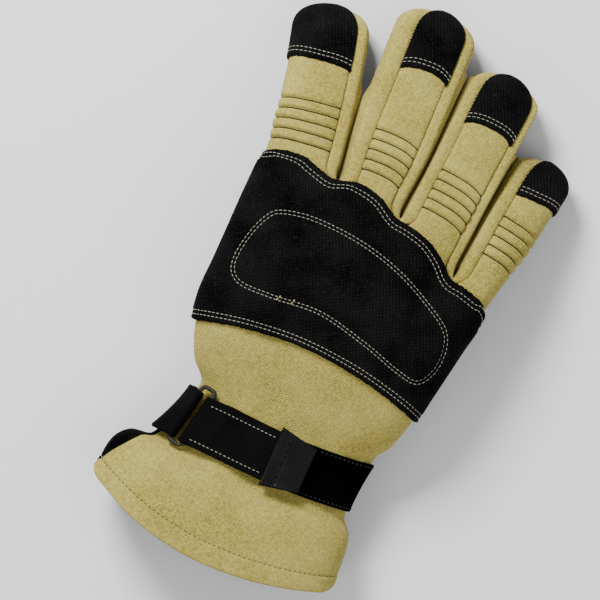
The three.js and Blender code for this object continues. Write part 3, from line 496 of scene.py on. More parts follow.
def newGroup(name, inputs, outputs):
    # An empty shader group with named sockets, each (name, type, value)
    tree = bpy.data.node_groups.new(name, "ShaderNodeTree")
    for label, kind, value in inputs:
        socket = tree.interface.new_socket(label, in_out="INPUT", socket_type=kind)
        if value is not None:
            socket.default_value = value
    for label, kind in outputs:
        tree.interface.new_socket(label, in_out="OUTPUT", socket_type=kind)
    return tree, tree.nodes.new("NodeGroupInput"), tree.nodes.new("NodeGroupOutput")


def math2(tree, operation, a, b):
    # A math node whose two inputs are sockets or numbers
    node = tree.nodes.new("ShaderNodeMath")
    node.operation = operation
    for socket, value in zip(node.inputs, (a, b)):
        if isinstance(value, (int, float)):
            socket.default_value = value
        else:
            tree.links.new(value, socket)
    return node.outputs[0]


def setInputs(node, values):
    for label, value in values.items():
        node.inputs[label].default_value = value


def noise(tree, vector, scale, detail=3.0, rough=0.6):
    node = tree.nodes.new("ShaderNodeTexNoise")
    setInputs(node, {"Detail": detail, "Roughness": rough})
    tree.links.new(vector, node.inputs["Vector"])
    if isinstance(scale, (int, float)):
        node.inputs["Scale"].default_value = scale
    else:
        tree.links.new(scale, node.inputs["Scale"])
    return node.outputs["Fac"]


def stretch(tree, value, low, high, toLow=0.0, toHigh=1.0):
    node = tree.nodes.new("ShaderNodeMapRange")
    setInputs(node, {"From Min": low, "From Max": high, "To Min": toLow, "To Max": toHigh})
    tree.links.new(value, node.inputs["Value"])
    return node.outputs["Result"]


def makeTwillGroup():
    # Diagonal ridges crossed by fainter ones and broken up by loose fibres: a height and a mask of the hollows,
    # which is partly random fibre tone and partly painted shade in the weave's hollows
    floats = [("Threads", "NodeSocketFloat", 260.0), ("Fibre", "NodeSocketFloat", 700.0),
              ("Ridge", "NodeSocketFloat", 0.5), ("Turn", "NodeSocketFloat", 0.6)]
    tree, start, end = newGroup("twillAndNap", [("Vector", "NodeSocketVector", None)] + floats,
                                [("Height", "NodeSocketFloat"), ("Hollow", "NodeSocketFloat")])
    ridges = []
    for turn in (0.0, 1.45):
        turned = tree.nodes.new("ShaderNodeVectorRotate")
        turned.rotation_type = "Z_AXIS"
        tree.links.new(math2(tree, "ADD", start.outputs["Turn"], turn), turned.inputs["Angle"])
        tree.links.new(start.outputs["Vector"], turned.inputs["Vector"])
        wave = tree.nodes.new("ShaderNodeTexWave")
        setInputs(wave, {"Distortion": 3.0, "Detail": 2.0, "Detail Scale": 1.2})
        tree.links.new(turned.outputs[0], wave.inputs["Vector"])
        tree.links.new(start.outputs["Threads"], wave.inputs["Scale"])
        ridges.append(wave.outputs["Fac"])
    crossed = math2(tree, "ADD", math2(tree, "MULTIPLY", ridges[0], 0.72),
                    math2(tree, "MULTIPLY", ridges[1], 0.28))
    fibre = noise(tree, start.outputs["Vector"], start.outputs["Fibre"], 5.0, 0.72)
    ridge = math2(tree, "MULTIPLY", crossed, start.outputs["Ridge"])
    height = math2(tree, "ADD", ridge, fibre)
    mask = math2(tree, "ADD", math2(tree, "MULTIPLY", ridge, 0.45), fibre)
    tree.links.new(height, end.inputs["Height"])
    tree.links.new(stretch(tree, mask, 0.42, 0.82, 1.0, 0.0), end.inputs["Hollow"])
    return tree


twillAndNap = makeTwillGroup()

# each dark colour fills the weave's hollows, partly as random fibre tone and partly as painted shade
finishes = {
    "shellCloth": {"colour": (0.55, 0.455, 0.102), "dark": (0.20, 0.163, 0.030), "light": (0.70, 0.60, 0.19),
                   "threads": 285, "fibre": 620, "ridge": 0.5, "turn": 0.62, "bump": 0.9, "depth": 0.001,
                   "rough": 0.92, "sheen": 0.04, "gloss": 0.08, "fleck": 0.45},
    "blackKnit": {"colour": (0.0025, 0.0024, 0.0024), "dark": (0.0005, 0.0005, 0.0005),
                  "light": (0.028, 0.0275, 0.0275), "threads": 175, "fibre": 620, "ridge": 0.75, "turn": -0.44,
                  "bump": 1.0, "depth": 0.0013, "rough": 0.92, "sheen": 0.0, "gloss": 0.03, "fleck": 0.75},
    "lining": {"colour": (0.02, 0.02, 0.022), "dark": (0.006, 0.006, 0.006), "light": (0.05, 0.05, 0.05),
               "threads": 220, "fibre": 500, "ridge": 0.5, "turn": 0.2, "bump": 0.5, "depth": 0.0008,
               "rough": 0.95, "sheen": 0.03, "gloss": 0.05, "fleck": 0.6},
    "strapWeb": {"colour": (0.0022, 0.0024, 0.0022), "dark": (0.0008, 0.0009, 0.0008),
                 "light": (0.008, 0.009, 0.008), "threads": 330, "fibre": 900, "ridge": 0.7, "turn": 0.0,
                 "bump": 0.3, "depth": 0.0004, "rough": 0.75, "sheen": 0.0, "gloss": 0.025, "fleck": 0.25},
    "loopFace": {"colour": (0.0009, 0.0011, 0.001), "dark": (0.0002, 0.0002, 0.0002),
                 "light": (0.006, 0.007, 0.006), "threads": 420, "fibre": 1100, "ridge": 0.4, "turn": 0.3,
                 "bump": 0.8, "depth": 0.0009, "rough": 0.97, "sheen": 0.0, "gloss": 0.0, "fleck": 0.3},
    "gripRubber": {"colour": (0.006, 0.006, 0.0065), "dark": (0.003, 0.003, 0.003), "light": (0.012, 0.012, 0.012),
                   "threads": 250, "fibre": 500, "ridge": 0.2, "turn": 0.0, "bump": 0.2, "depth": 0.0003,
                   "rough": 0.4, "sheen": 0.0, "gloss": 0.35, "fleck": 0.2},
}


def blendColour(tree, factor, a, b):
    node = tree.nodes.new("ShaderNodeMix")
    node.data_type = "RGBA"
    tree.links.new(factor, node.inputs["Factor"])
    for socket, value in ((node.inputs[6], a), (node.inputs[7], b)):
        if isinstance(value, tuple):
            socket.default_value = (*value, 1)
        else:
            tree.links.new(value, socket)
    return node.outputs[2]


def newMaterial(name):
    # A material with its tree, its shader and the object's own coordinates
    material = bpy.data.materials.new(name)
    material.use_nodes = True
    tree = material.node_tree
    return material, tree, tree.nodes["Principled BSDF"], tree.nodes.new("ShaderNodeTexCoord").outputs["Object"]


def addBump(tree, shader, height, strength, distance):
    bump = tree.nodes.new("ShaderNodeBump")
    setInputs(bump, {"Strength": strength, "Distance": distance})
    tree.links.new(height, bump.inputs["Height"])
    tree.links.new(bump.outputs["Normal"], shader.inputs["Normal"])


def clothMaterial(name):
    look = finishes[name]
    material, tree, shader, where = newMaterial(name)
    cloth = tree.nodes.new("ShaderNodeGroup")
    cloth.node_tree = twillAndNap
    setInputs(cloth, {label: look[label.lower()] for label in ("Threads", "Fibre", "Ridge", "Turn")})
    tree.links.new(where, cloth.inputs["Vector"])
    fleck = stretch(tree, noise(tree, where, 1150.0, 3.0), 0.58, 0.72)
    worn = stretch(tree, noise(tree, where, 38.0, 4.0, 0.55), 0.35, 0.7)
    # painted shade: the base colour darkens towards the dark colour in the weave's hollows, mixed with random
    # fibre tone
    ground = blendColour(tree, cloth.outputs["Hollow"], look["colour"], look["dark"])
    soft = blendColour(tree, math2(tree, "MULTIPLY", worn, 0.3), ground, look["light"])
    tree.links.new(blendColour(tree, math2(tree, "MULTIPLY", fleck, look["fleck"]), soft, look["light"]),
                   shader.inputs["Base Color"])
    tree.links.new(stretch(tree, cloth.outputs["Hollow"], 0, 1, look["rough"] - 0.08, look["rough"] + 0.06),
                   shader.inputs["Roughness"])
    setInputs(shader, {"Sheen Weight": look["sheen"], "Sheen Roughness": 0.5, "Specular IOR Level": look["gloss"]})
    addBump(tree, shader, cloth.outputs["Height"], look["bump"], look["depth"])
    return material


def threadMaterial(name, colour, dark):
    # Twisted thread: fine noise between two shades
    material, tree, shader, where = newMaterial(name)
    strand = stretch(tree, noise(tree, where, 2200.0, 2.0), 0.4, 0.65)
    tree.links.new(blendColour(tree, strand, dark, colour), shader.inputs["Base Color"])
    setInputs(shader, {"Roughness": 0.75, "Specular IOR Level": 0.3})
    return material


def hardMaterial(name, colour, worn, rough, grain, gloss):
    # Moulded or coated surface with worn patches and a faint grain
    material, tree, shader, where = newMaterial(name)
    patches = stretch(tree, noise(tree, where, grain, 5.0), 0.5, 0.72)
    tree.links.new(blendColour(tree, patches, colour, worn), shader.inputs["Base Color"])
    tree.links.new(stretch(tree, patches, 0, 1, rough, rough + 0.15), shader.inputs["Roughness"])
    setInputs(shader, {"Specular IOR Level": gloss})
    addBump(tree, shader, noise(tree, where, 1400.0, 3.0), 0.3, 0.0002)
    return material


cloths = {name: clothMaterial(name) for name in finishes}
shell, black, lining = cloths["shellCloth"], cloths["blackKnit"], cloths["lining"]
whiteThread = threadMaterial("whiteThread", (0.46, 0.445, 0.35), (0.24, 0.23, 0.17))
tanThread = threadMaterial("tanThread", (0.16, 0.125, 0.04), (0.06, 0.045, 0.012))
darkThread = threadMaterial("darkThread", (0.010, 0.008, 0.004), (0.002, 0.002, 0.001))
yellowThread = threadMaterial("yellowThread", (0.62, 0.58, 0.22), (0.4, 0.36, 0.12))
greyThread = threadMaterial("greyThread", (0.035, 0.035, 0.037), (0.01, 0.01, 0.01))
blackThread = threadMaterial("blackThread", (0.0006, 0.0006, 0.0006), (0.0002, 0.0002, 0.0002))
tabRubber = hardMaterial("tabRubber", (0.0032, 0.0032, 0.0036), (0.006, 0.006, 0.0066), 0.42, 60.0, 0.12)
ringCoat = hardMaterial("ringCoat", (0.014, 0.012, 0.006), (0.045, 0.039, 0.018), 0.5, 120.0, 0.2)
tanCloth = ([shell, lining], "shell_cloth")     # outer and inner material, and the slot they fill
knitCloth = ([black, lining], "black_knit")
doubledKnit = ([black, black], "black_knit")
print("finishes ready")


def clothPiece(name, part, cloth, replaced):
    # A panel with its outer and inner cloth, in the place of one solid
    materials, slot = cloth
    return makePiece(name, [part], materials, [replaced])


def threadPiece(name, rows, thread):
    makePiece(name, rows, [thread], tidy=False)


# Hand and fingers

curves = {"front": spline([(a * wide, b * hand) for a, b in guardFront], 160),
          "rear": spline([(a * wide, b * hand) for a, b in guardRear], 160),
          "pad": spline([(a * wide, b * hand) for a, b in padEdge], 240, closed=True)}
sideAngle = math.asin(-0.25 ** 1.3)               # where the side seams of the hand and fingers run


def frontEdge(x):
    return np.interp(x, curves["front"][:, 0], curves["front"][:, 1])


def rearEdge(x):
    return np.interp(x, curves["rear"][:, 0], curves["rear"][:, 1])


def overTop(y, angle, rise):
    # The back of the hand with the finger roots under it: the higher of the two, blended
    base = bodyAt(y, angle, 0.0)
    lifted = bodyAt(y, angle, rise)
    gap = fingerTopAt(base[..., 0], base[..., 1]) - base[..., 2]
    lifted[..., 2] += np.where(gap > -2, 0.25 * np.clip(gap + 2, 0, 4) ** 2 / 4, 0) * (gap < 2)
    lifted[..., 2] += np.where(gap >= 2, gap - 1, 0)
    return lifted


def clothWaves(points, seed, size, height):
    return height * ripple(points[..., 0], points[..., 1] + 0.5 * points[..., 2], seed, size)


handBack = {"columns": 120, "rows": 70, "waves": 0.9, "waveSize": 42, "bunch": 1.8, "bunchReach": 14,
            "edge": 1.0, "roll": 1.5, "wall": glove["wall"], "pinch": 1.6, "set": 0.3, "underGuard": 5}


def makeHandBack():
    look = handBack
    angles = clustered(sideAngle, math.pi - sideAngle, look["columns"])[None, :]
    share = np.linspace(0, 1, look["rows"])[:, None]
    _, leftSeam = bodySeams(glove["bodyFrom"])
    left = np.minimum(math.pi - sideAngle, leftSeam + share * 4)
    angles = sideAngle + (angles - sideAngle) / (math.pi - 2 * sideAngle) * (left - sideAngle)

    def surface(v, a, rise):
        y = 60 + 0 * v * a
        for _ in range(2):
            x = bodyAt(y, a)[..., 0]
            y = glove["bodyFrom"] + v * (frontEdge(x) - look["underGuard"] - glove["bodyFrom"])
        return bodyAt(y, a, rise)
    points = surface(share, angles, 0.0)
    waves = clothWaves(points, 3, look["waveSize"], look["waves"])
    fromStrap = np.clip(points[..., 1] - glove["strapWidth"] / 2, 0, None)
    bunch = look["bunch"] * hump(fromStrap, look["bunchReach"]) * ripple(points[..., 0], 0 * share, 8, 20)
    pinch = -look["pinch"] * hump(points[..., 1], glove["strapWidth"] / 2)
    return panel(surface, share, angles, look, waves + bunch + pinch - look["set"], rimSlot=1)


def fingerEdges(name, s):
    # Angles of the back panel's edges: down the seams, round the U at each web, then out to the slot
    right, left = fingerSeams(name)
    f = fingers[name]
    edges = []
    for seam, web in ((right, "right"), (left, "left")):
        if f[web] is None:
            edges.append(np.full(np.shape(s), seam))
            continue
        start, depth = webs[name, web]
        t = np.clip((start - s) * f["length"] / depth, 0, 1)
        out = 1 - np.sqrt(1 - t ** 2)
        inside = 1 - 2 * f[web]
        share = inside + (0.985 - inside) * out
        angle = np.arccos(share ** (fingerSquare / 2))
        edges.append(angle if web == "right" else math.pi - angle)
    return edges


# Two neighbours, where the U between them starts on each, and its depth as a share of the hand's length
webShapes = [("index", "middle", 0.05, 0.04, 0.052), ("middle", "ring", 0.03, 0.04, 0.058),
             ("ring", "little", -0.08, 0.06, 0.075)]
webs = {}
for first, second, startFirst, startSecond, depth in webShapes:
    webs[first, "right"] = (startFirst, depth * hand)
    webs[second, "left"] = (startSecond, depth * hand)

fingerBack = {"columns": 44, "rows": 190, "start": -0.34, "lineDepth": 1.8, "lineWidth": 0.85,
              "puff": 1.25, "bow": 1.7, "waves": 0.5, "sink": 2.4,
              "edge": 1.3, "roll": -2.4, "wall": 2.6, "pitch": 5.8, "lines": 5}


def quiltLine(name, number, across):
    # Place along a finger of one quilt line: a parabola bowed towards the tip
    f, look = fingers[name], fingerBack
    along = f["ribStart"] + number * look["pitch"] - look["bow"] * across ** 2 + 0.5 * look["bow"]
    along = along + math.tan(math.radians(f["slant"])) * across * f["width"] / 2
    return along / f["length"]


def fingerRelief(name, s, angle):
    # Pillowed between its seams, pinched at the quilt lines, puffed between them, with a few soft waves
    f, look = fingers[name], fingerBack
    right, left = fingerSeams(name)
    across = np.clip(2 * (angle - right) / (left - right) - 1, -1, 1)
    inSeams = smooth(1 - np.abs(across), 0, 0.3)
    dent = 0
    for number in range(look["lines"]):
        off = (s - quiltLine(name, number, across)) * f["length"]
        dent = dent - look["lineDepth"] * hump(off, look["lineWidth"]) * (0.35 + 0.65 * inSeams)
    middle = quiltLine(name, (look["lines"] - 1) / 2, across)
    region = hump((s - middle) * f["length"] / (0.62 * look["lines"] * look["pitch"]), 1) ** 2
    under = smooth((1 - s) * f["length"], f["cap"] - 2, f["cap"] + 3)
    wave = look["waves"] * ripple(s * f["length"], angle * 12, len(name), 24)
    return dent + look["puff"] * region * inSeams + wave * inSeams - 0.5 * (1 - under)


def shadeUnderGuard(parts):
    # Cloth that runs on under the knuckle guard gets the dark lining material on its outer face too: painted shade
    # under the guard
    points, faces, slots = parts
    middle = points[faces].mean(1)
    return points, faces, np.where(frontEdge(middle[:, 0]) - middle[:, 1] > 2, 1, slots)


def makeFingerBack(name):
    look, tip = fingerBack, 16 / fingers[name]["length"]
    s = np.concatenate([np.linspace(look["start"], -0.02, 24), np.linspace(0, 0.6, 150),
                        np.linspace(0.61, 1 - tip, 16), toTip(tip, 22)])[:, None]
    right, left = fingerEdges(name, s)
    share = acrossShares(look)
    angles = right + (left - right) * share
    flat = fingerSkin(name, s, angles)
    behind = frontEdge(flat[..., 0]) - flat[..., 1]
    relief = fingerRelief(name, s, angles) - look["sink"] * smooth(behind, 1.5, 7)
    # the finger back's outer face under the guard takes the dark lining colour as painted shade
    return shadeUnderGuard(panel(partial(fingerSkin, name), s, angles, look, relief))


def quiltStitches(name):
    # Dark thread along each quilt line, lying in its groove
    right, left = fingerSeams(name)
    rows = []
    for number in range(fingerBack["lines"]):
        share = np.linspace(0.015, 0.985, 60)
        angle = right + (left - right) * share
        s = quiltLine(name, number, 2 * share - 1)
        path = fingerSkin(name, s, angle, fingerRelief(name, s, angle) + 0.16)
        rows.append(stitches(path, 2.6, -0.6, 0.4, 0.0, 0.02))
    return rows


clothPiece("hand_back", makeHandBack(), tanCloth, "back_panel")
for name in fingers:
    clothPiece(f"{name}_back", makeFingerBack(name), tanCloth, f"finger_back_{name}")
threadPiece("quilt_stitching", [row for name in fingers for row in quiltStitches(name)], darkThread)

webStrip = {"acrossSteps": 34, "puff": 2.1, "lip": 0.24, "lipWidth": 0.19, "rear": 0.35, "dip": 4.0,
            "pressAt": 0.84, "pressWidth": 0.32, "pressGap": 0.02, "apart": (3.0, 5.5),
            "edge": 1.5, "edgeWidth": 0.12, "wall": 2.4}


def sideGap(first, second, y):
    # Clear space between the facing sides of two neighbouring fingers, at a place along the glove
    s = np.linspace(-0.3, 0.97, 200)
    near, far = fingerSkin(first, s, 0.0), fingerSkin(second, s, math.pi)
    return np.interp(y, far[:, 1], far[:, 0]) - np.interp(y, near[:, 1], near[:, 0])


def pressed(first, second, name, s, angle):
    # How far a strip swells at a place along its finger, so that both sides nearly meet near the web
    gap = sideGap(first, second, fingerSkin(name, s, angle)[..., 1])
    return np.clip(gap / 2 - webStrip["pressGap"], 0, None) * (1 - smooth(gap, *webStrip["apart"]))


def makeFourchette(first, second, startFirst, startSecond, depth):
    # One strip down a finger's side, round a U at the web and up the next finger's side
    look = webStrip
    seamFirst, seamSecond = fingerSeams(first)[0], fingerSeams(second)[1]
    q = clustered(0, 1, look["acrossSteps"], 0.4)[None, :]
    tipward = np.concatenate([np.linspace(0, 0.8, 50), toTip(0.2, 22, 0.02, 1.55)])
    sFirst = (startFirst + (1 - startFirst) * tipward[::-1])[:, None]
    sSecond = (startSecond + (1 - startSecond) * tipward)[:, None]
    angleFirst = seamFirst + (sideAngle - seamFirst) * q
    angleSecond = seamSecond + (math.pi - sideAngle - seamSecond) * q

    def strip(rise, turnRise):
        a = fingerSkin(first, sFirst, angleFirst, rise[: len(sFirst)])
        b = fingerSkin(second, sSecond, angleSecond, rise[-len(sSecond):])
        t = np.linspace(0, 1, 32)[1:-1][:, None]
        lerp = (1 - np.cos(math.pi * t)) / 2
        middleA = fingerSkin(first, startFirst + 0 * t, angleFirst, turnRise[0])
        middleB = fingerSkin(second, startSecond + 0 * t, angleSecond, turnRise[1])
        u = middleA + (middleB - middleA) * lerp[..., None]
        u[..., 1] -= depth * hand * np.sin(math.pi * t) * (1 - (1 - look["rear"]) * q)
        u[..., 2] -= look["dip"] * np.sin(math.pi * t) ** 2 * smooth(q, 0.3, 0.7)
        return np.concatenate([a, u, b])
    bulge = look["puff"] * hump(q - look["lip"], look["lipWidth"])
    bulge = bulge - look["edge"] * (1 - edgeRoll(q, look["edgeWidth"]))
    fade = np.concatenate([smooth(1 - sFirst, 0, 0.12), smooth(1 - sSecond, 0, 0.12)])
    press = np.concatenate([pressed(first, second, first, sFirst, 0.0),
                            pressed(first, second, second, sSecond, math.pi)])
    swell = hump(q - look["pressAt"], look["pressWidth"])
    rise = bulge * fade + press * swell
    turns = [bulge + press[len(sFirst) - 1] * swell, bulge + press[len(sFirst)] * swell]
    outer = strip(rise, turns)
    inner = strip(rise * 0 - look["wall"], [bulge * 0 - look["wall"]] * 2)
    return shadeUnderGuard(facing(shellMesh(outer, inner, 1)))


for shape in webShapes:
    pair = f"{shape[0]}_{shape[1]}"
    clothPiece(f"side_strip_{pair}", makeFourchette(*shape), tanCloth, f"fourchette_{pair}")


# Palm, finger fronts and their grip patches

palmPanel = {"columns": 90, "rows": 80, "waves": 0.5, "waveSize": 34, "edge": 1.0, "roll": 1.5,
             "wall": glove["wall"], "set": 0.4}
fingerFront = {"columns": 40, "start": -0.22, "edge": 0.8, "roll": -1.5, "wall": 2.4, "set": 0.1}


def makePalm():
    look = palmPanel
    y = np.linspace(glove["bodyFrom"], hand, look["rows"])[:, None]
    right, left = bodySeams(y)
    share = acrossShares(look, 0.6)
    angles = left + (2 * math.pi + right - left) * share
    relief = clothWaves(bodySkin(y, angles), 11, look["waveSize"], look["waves"]) - look["set"]
    return panel(bodySkin, y, angles, look, np.minimum(relief, 0))


def makeFingerFront(name):
    look = fingerFront
    s = np.concatenate([np.linspace(look["start"], 0.78, 70), toTip(0.22, 22)])[:, None]
    share = acrossShares(look)
    angles = math.pi - sideAngle + (math.pi + 2 * sideAngle) * share
    return panel(partial(fingerSkin, name), s, angles, look, -look["set"])


clothPiece("palm_knit", makePalm(), knitCloth, "palm_panel")
for name in fingers:
    clothPiece(f"{name}_front", makeFingerFront(name), knitCloth, f"finger_front_{name}")

gripPatch = {"height": 0.55, "ribPitch": 4.2, "corner": 5.0, "proud": 0.15, "sunk": 0.6}


def ladder(surface, halfWidth, length):
    # A rounded patch with a raised border and rungs, on surface(across, along, rise) in millimetres
    across = clustered(-halfWidth, halfWidth, 26, 0.5)[None, :]
    along = clustered(0, length, max(int(length * 1.6), 12), 0.3)[:, None]
    corner = min(gripPatch["corner"], halfWidth)
    overEnd = np.maximum(np.maximum(corner - along, along - (length - corner)), 0)
    squeeze = np.sqrt(np.clip(1 - (overEnd / corner) ** 2, 0.02, 1))
    narrow = (halfWidth - corner * (1 - squeeze)) / halfWidth
    x = across * narrow
    edge = np.minimum(halfWidth * narrow - np.abs(x), np.minimum(along, length - along))
    border = hump(edge - 1.0, 0.7)
    rung = hump(((along / gripPatch["ribPitch"]) % 1 - 0.5) * gripPatch["ribPitch"], 0.75) * smooth(edge, 1, 2.2)
    rail = hump(np.abs(x) - 0.45 * halfWidth, 0.6) * smooth(edge, 1, 2.2)
    rise = gripPatch["height"] * (0.35 + 0.65 * np.maximum(np.maximum(border, rung), rail)) * edgeRoll(edge, 0.5)
    return facing(shellMesh(surface(x, along, rise + gripPatch["proud"]),
                            surface(x, along, rise * 0 - gripPatch["sunk"])))


def fingerPatch(name):
    f = fingers[name]
    start, length = 0.1 * f["length"], 0.74 * f["length"]

    def surface(x, along, rise):
        s = (start + along) / f["length"]
        return fingerSkin(name, s, 1.5 * math.pi + x / (0.46 * f["width"]), rise)
    return ladder(surface, 0.3 * f["width"], length)


palmPatches = [(-46, 64, 34, 11, -6), (-20, 104, 34, 9, 0), (6, 104, 34, 9, 0), (32, 98, 36, 9, 4),
               (14, 50, 44, 10, 8), (38, 46, 44, 10, 12)]  # across, along, length, half width, lean


def palmPatch(x0, y0, length, halfWidth, lean):
    turn = math.radians(lean)

    def surface(x, along, rise):
        px = x0 + x * math.cos(turn) + along * math.sin(turn)
        py = y0 - x * math.sin(turn) + along * math.cos(turn)
        return bodyAt(py, 2 * math.pi - angleAt(py, px), rise)
    return ladder(surface, halfWidth, length)


makePiece("grip_patches", [fingerPatch(name) for name in fingers] + [palmPatch(*p) for p in palmPatches],
          [cloths["gripRubber"]], tidy=False)


# Thumb

thumbLook = {"columns": 60, "intoPalm": 1.7, "waves": 0.35, "waveSize": 26, "edge": 0.9, "roll": -1.6,
             "wall": 2.6, "set": 0.25}


def thumbUnderPalm(s, angle, rise):
    # The thumb's surface, kept from passing up through the palm where it grows out of it
    points = thumbSkin(s, angle, rise)
    x, y = points[..., 0], points[..., 1]
    palm = bodyAt(y, 2 * math.pi - angleAt(y, x))[..., 2]
    points[..., 2] = np.minimum(points[..., 2], palm + thumbLook["intoPalm"] + 0.15 * rise)
    return points


def makeThumb(fromAngle, toAngle):
    look = thumbLook
    s = np.concatenate([np.linspace(0.1, 0.83, 60), toTip(0.16, 26, 0.03)])[:, None]
    share = acrossShares(look)
    angles = fromAngle + (toAngle - fromAngle) * share
    relief = clothWaves(thumbUnderPalm(s, angles, 0.0), 5, look["waveSize"], look["waves"]) - look["set"]
    return panel(thumbUnderPalm, s, angles, look, np.minimum(relief, 0))


thumbEdge = math.acos((2 * thumbSeam) ** 1.3)
clothPiece("thumb_front", makeThumb(thumbEdge, 2 * math.pi - thumbEdge), knitCloth, "thumb_face")
clothPiece("thumb_strip", makeThumb(-thumbEdge, thumbEdge), tanCloth, "thumb_side")


# Cuff

cuffLook = {"columns": 130, "rows": 80, "waves": 1.9, "waveSize": 48, "hem": 11.5, "hemStep": 0.45,
            "bunch": 3.0, "corner": 6.0, "cornerFade": 16.0, "swell": 3.6,
            "groove": 0.8, "pinch": 1.6, "set": 0.4, "edge": 1.3, "roll": 1.5, "wall": 3.0,
            "seeds": {False: 21, True: 31}}


def cuffRelief(y, points, seed):
    # Soft waves, a bunched run behind the strap, and a hem that is thicker than the cloth before it
    look = cuffLook
    fromMouth = y + cuff
    hemLine = look["hem"]
    hem = look["hemStep"] * (1 - smooth(fromMouth, hemLine - 0.4, hemLine + 1.2))
    hem = hem - look["groove"] * hump(fromMouth - hemLine, 1.0)
    gathers = ripple(points[..., 0], points[..., 2], seed, 22)
    bunch = look["bunch"] * hump(y + glove["strapWidth"] / 2, 11) * gathers
    waves = look["waves"] * smooth(-y, 10, 30) * ripple(points[..., 0], points[..., 1] * 0.6, seed + 1,
                                                        look["waveSize"])
    pinch = -look["pinch"] * hump(y, glove["strapWidth"] / 2)
    return hem + bunch + waves + pinch - look["set"]


def cuffSkin(y, angle, rise):
    # The cuff's surface with the corners of its mouth rounded off
    look = cuffLook
    _, left, right, _, _, _, _, square, _, _ = bodyRow(y)
    fromSide = (right - left) / 2 * (1 - np.abs(np.cos(angle)) ** (2 / square))
    fromSide = fromSide * np.where(np.sin(angle) < 0, 0.35, 1)        # a longer curve under the glove
    over = np.clip(look["corner"] - fromSide, 0, look["corner"])
    back = look["corner"] - np.sqrt(look["corner"] ** 2 - over ** 2)
    return bodySkin(y + back * (1 - smooth(y + cuff, 0, look["cornerFade"])), angle, rise)


def makeCuff(lower):
    look = cuffLook
    y = clustered(-cuff, -glove["bodyFrom"], look["rows"], 0.35)[:, None]
    right, left = bodySeams(y)
    share = acrossShares(look, 0.6)
    start, end = (left, 2 * math.pi + right) if lower else (right, left)
    angles = start + (end - start) * share
    relief = cuffRelief(y, cuffSkin(y, angles, 0.0), look["seeds"][lower])
    if lower:
        swell = look["swell"] * hump(y + 33, 15) * smooth(share, 0, 0.03) * (1 - smooth(share, 0.05, 0.2))
        relief = np.minimum(relief, 0.0) + swell
    return panel(cuffSkin, y, angles, look, relief)


clothPiece("cuff_upper", makeCuff(False), tanCloth, "cuff_back")
clothPiece("cuff_under", makeCuff(True), knitCloth, "cuff_palm")


def cuffHem(lower):
    # The row of stitches in the hem's groove, from seam to seam
    y = np.full(300, -cuff + cuffLook["hem"])
    right, left = bodySeams(y[0])
    low, high = (left + 0.03, 2 * math.pi + right - 0.03) if lower else (right + 0.02, left - 0.02)
    angles = np.linspace(low, high, len(y))
    relief = cuffRelief(y, cuffSkin(y, angles, 0.0), cuffLook["seeds"][lower])
    relief = np.minimum(relief, 0.0) if lower else relief
    return stitches(cuffSkin(y, angles, relief + 0.12), 2.0, 0.9, 0.3, 0.05, 0.08)


threadPiece("cuff_hem_stitching", [cuffHem(False)], tanThread)
threadPiece("cuff_palm_stitching", [cuffHem(True)], whiteThread)


# Knuckle guard with its padded field

# A wall below zero is an inner face that lies above the surface: the guard and the caps rest on other cloth
guardLook = {"columns": 330, "rows": 142, "fuzz": 0.45, "thickness": 2.0, "wall": -0.35, "edge": 1.3,
             "roll": 1.1, "pad": 1.8, "padReach": 9.0, "groove": 0.75, "edgeGroove": 0.5,
             "rows of stitches, front": (3.4, 5.4), "rows of stitches, rear": (2.6, 4.7),
             "rows of stitches, pad": (0.0, 1.8), "waves": 0.35}


def padDepth(x, y):
    # Distance inside the padded field's outline, negative outside it
    outline = curves["pad"][:-1]
    following = np.roll(outline, -1, 0)
    place = np.stack([x, y], -1).reshape(-1, 1, 2)
    edge = (following - outline)[None]
    t = np.clip(((place - outline) * edge).sum(-1) / (edge ** 2).sum(-1), 0, 1)
    away = np.linalg.norm(place - outline - t[..., None] * edge, axis=-1).min(1)
    crosses = (outline[:, 1] > place[..., 1]) != (following[:, 1] > place[..., 1])
    run = (place[..., 1] - outline[:, 1]) / (following[:, 1] - outline[:, 1] + 1e-9)
    inside = (crosses & (place[..., 0] < outline[:, 0] + run * edge[..., 0])).sum(1) % 2
    return (np.where(inside == 1, away, -away)).reshape(np.shape(x))


def fromCurve(edge, x, y):
    # Distance to the guard's front or rear edge, measured square to it
    line = frontEdge if edge == "front" else rearEdge
    slope = (line(x + 1.5) - line(x - 1.5)) / 3
    return np.abs(line(x) - y) / np.sqrt(1 + slope ** 2)


def guardRelief(x, y):
    # Rise of the guard: a groove under each pair of stitch rows, and the padded field domed inside its own
    look = guardLook
    depth = padDepth(x, y)
    rise = look["thickness"] + glove["seamGap"] + look["pad"] * smooth(depth, 1.5, look["padReach"]) ** 0.7
    rise -= look["groove"] * np.maximum(hump(depth, 0.8), hump(depth - 1.8, 0.8))
    rise += 0.35 * smooth(-depth, 1, 6)
    pucker = 0.12 * np.sin(x * 1.7 + y * 0.9) * hump(depth - 1, 4)
    for edge in ("front", "rear"):
        far = fromCurve(edge, x, y)
        for row in look[f"rows of stitches, {edge}"]:
            rise = rise - look["edgeGroove"] * hump(far - row, 0.7)
    return rise + pucker + look["waves"] * ripple(x, y, 17, 38)


def guardPlace(angles, share):
    # Where a share of the way from the rear edge to the front one lies, at each angle
    y = np.full(np.broadcast(angles, share).shape, 90.0)
    for _ in range(5):
        x = bodyAt(y, angles)[..., 0]
        y = rearEdge(x) + share * (frontEdge(x) - rearEdge(x))
    return y


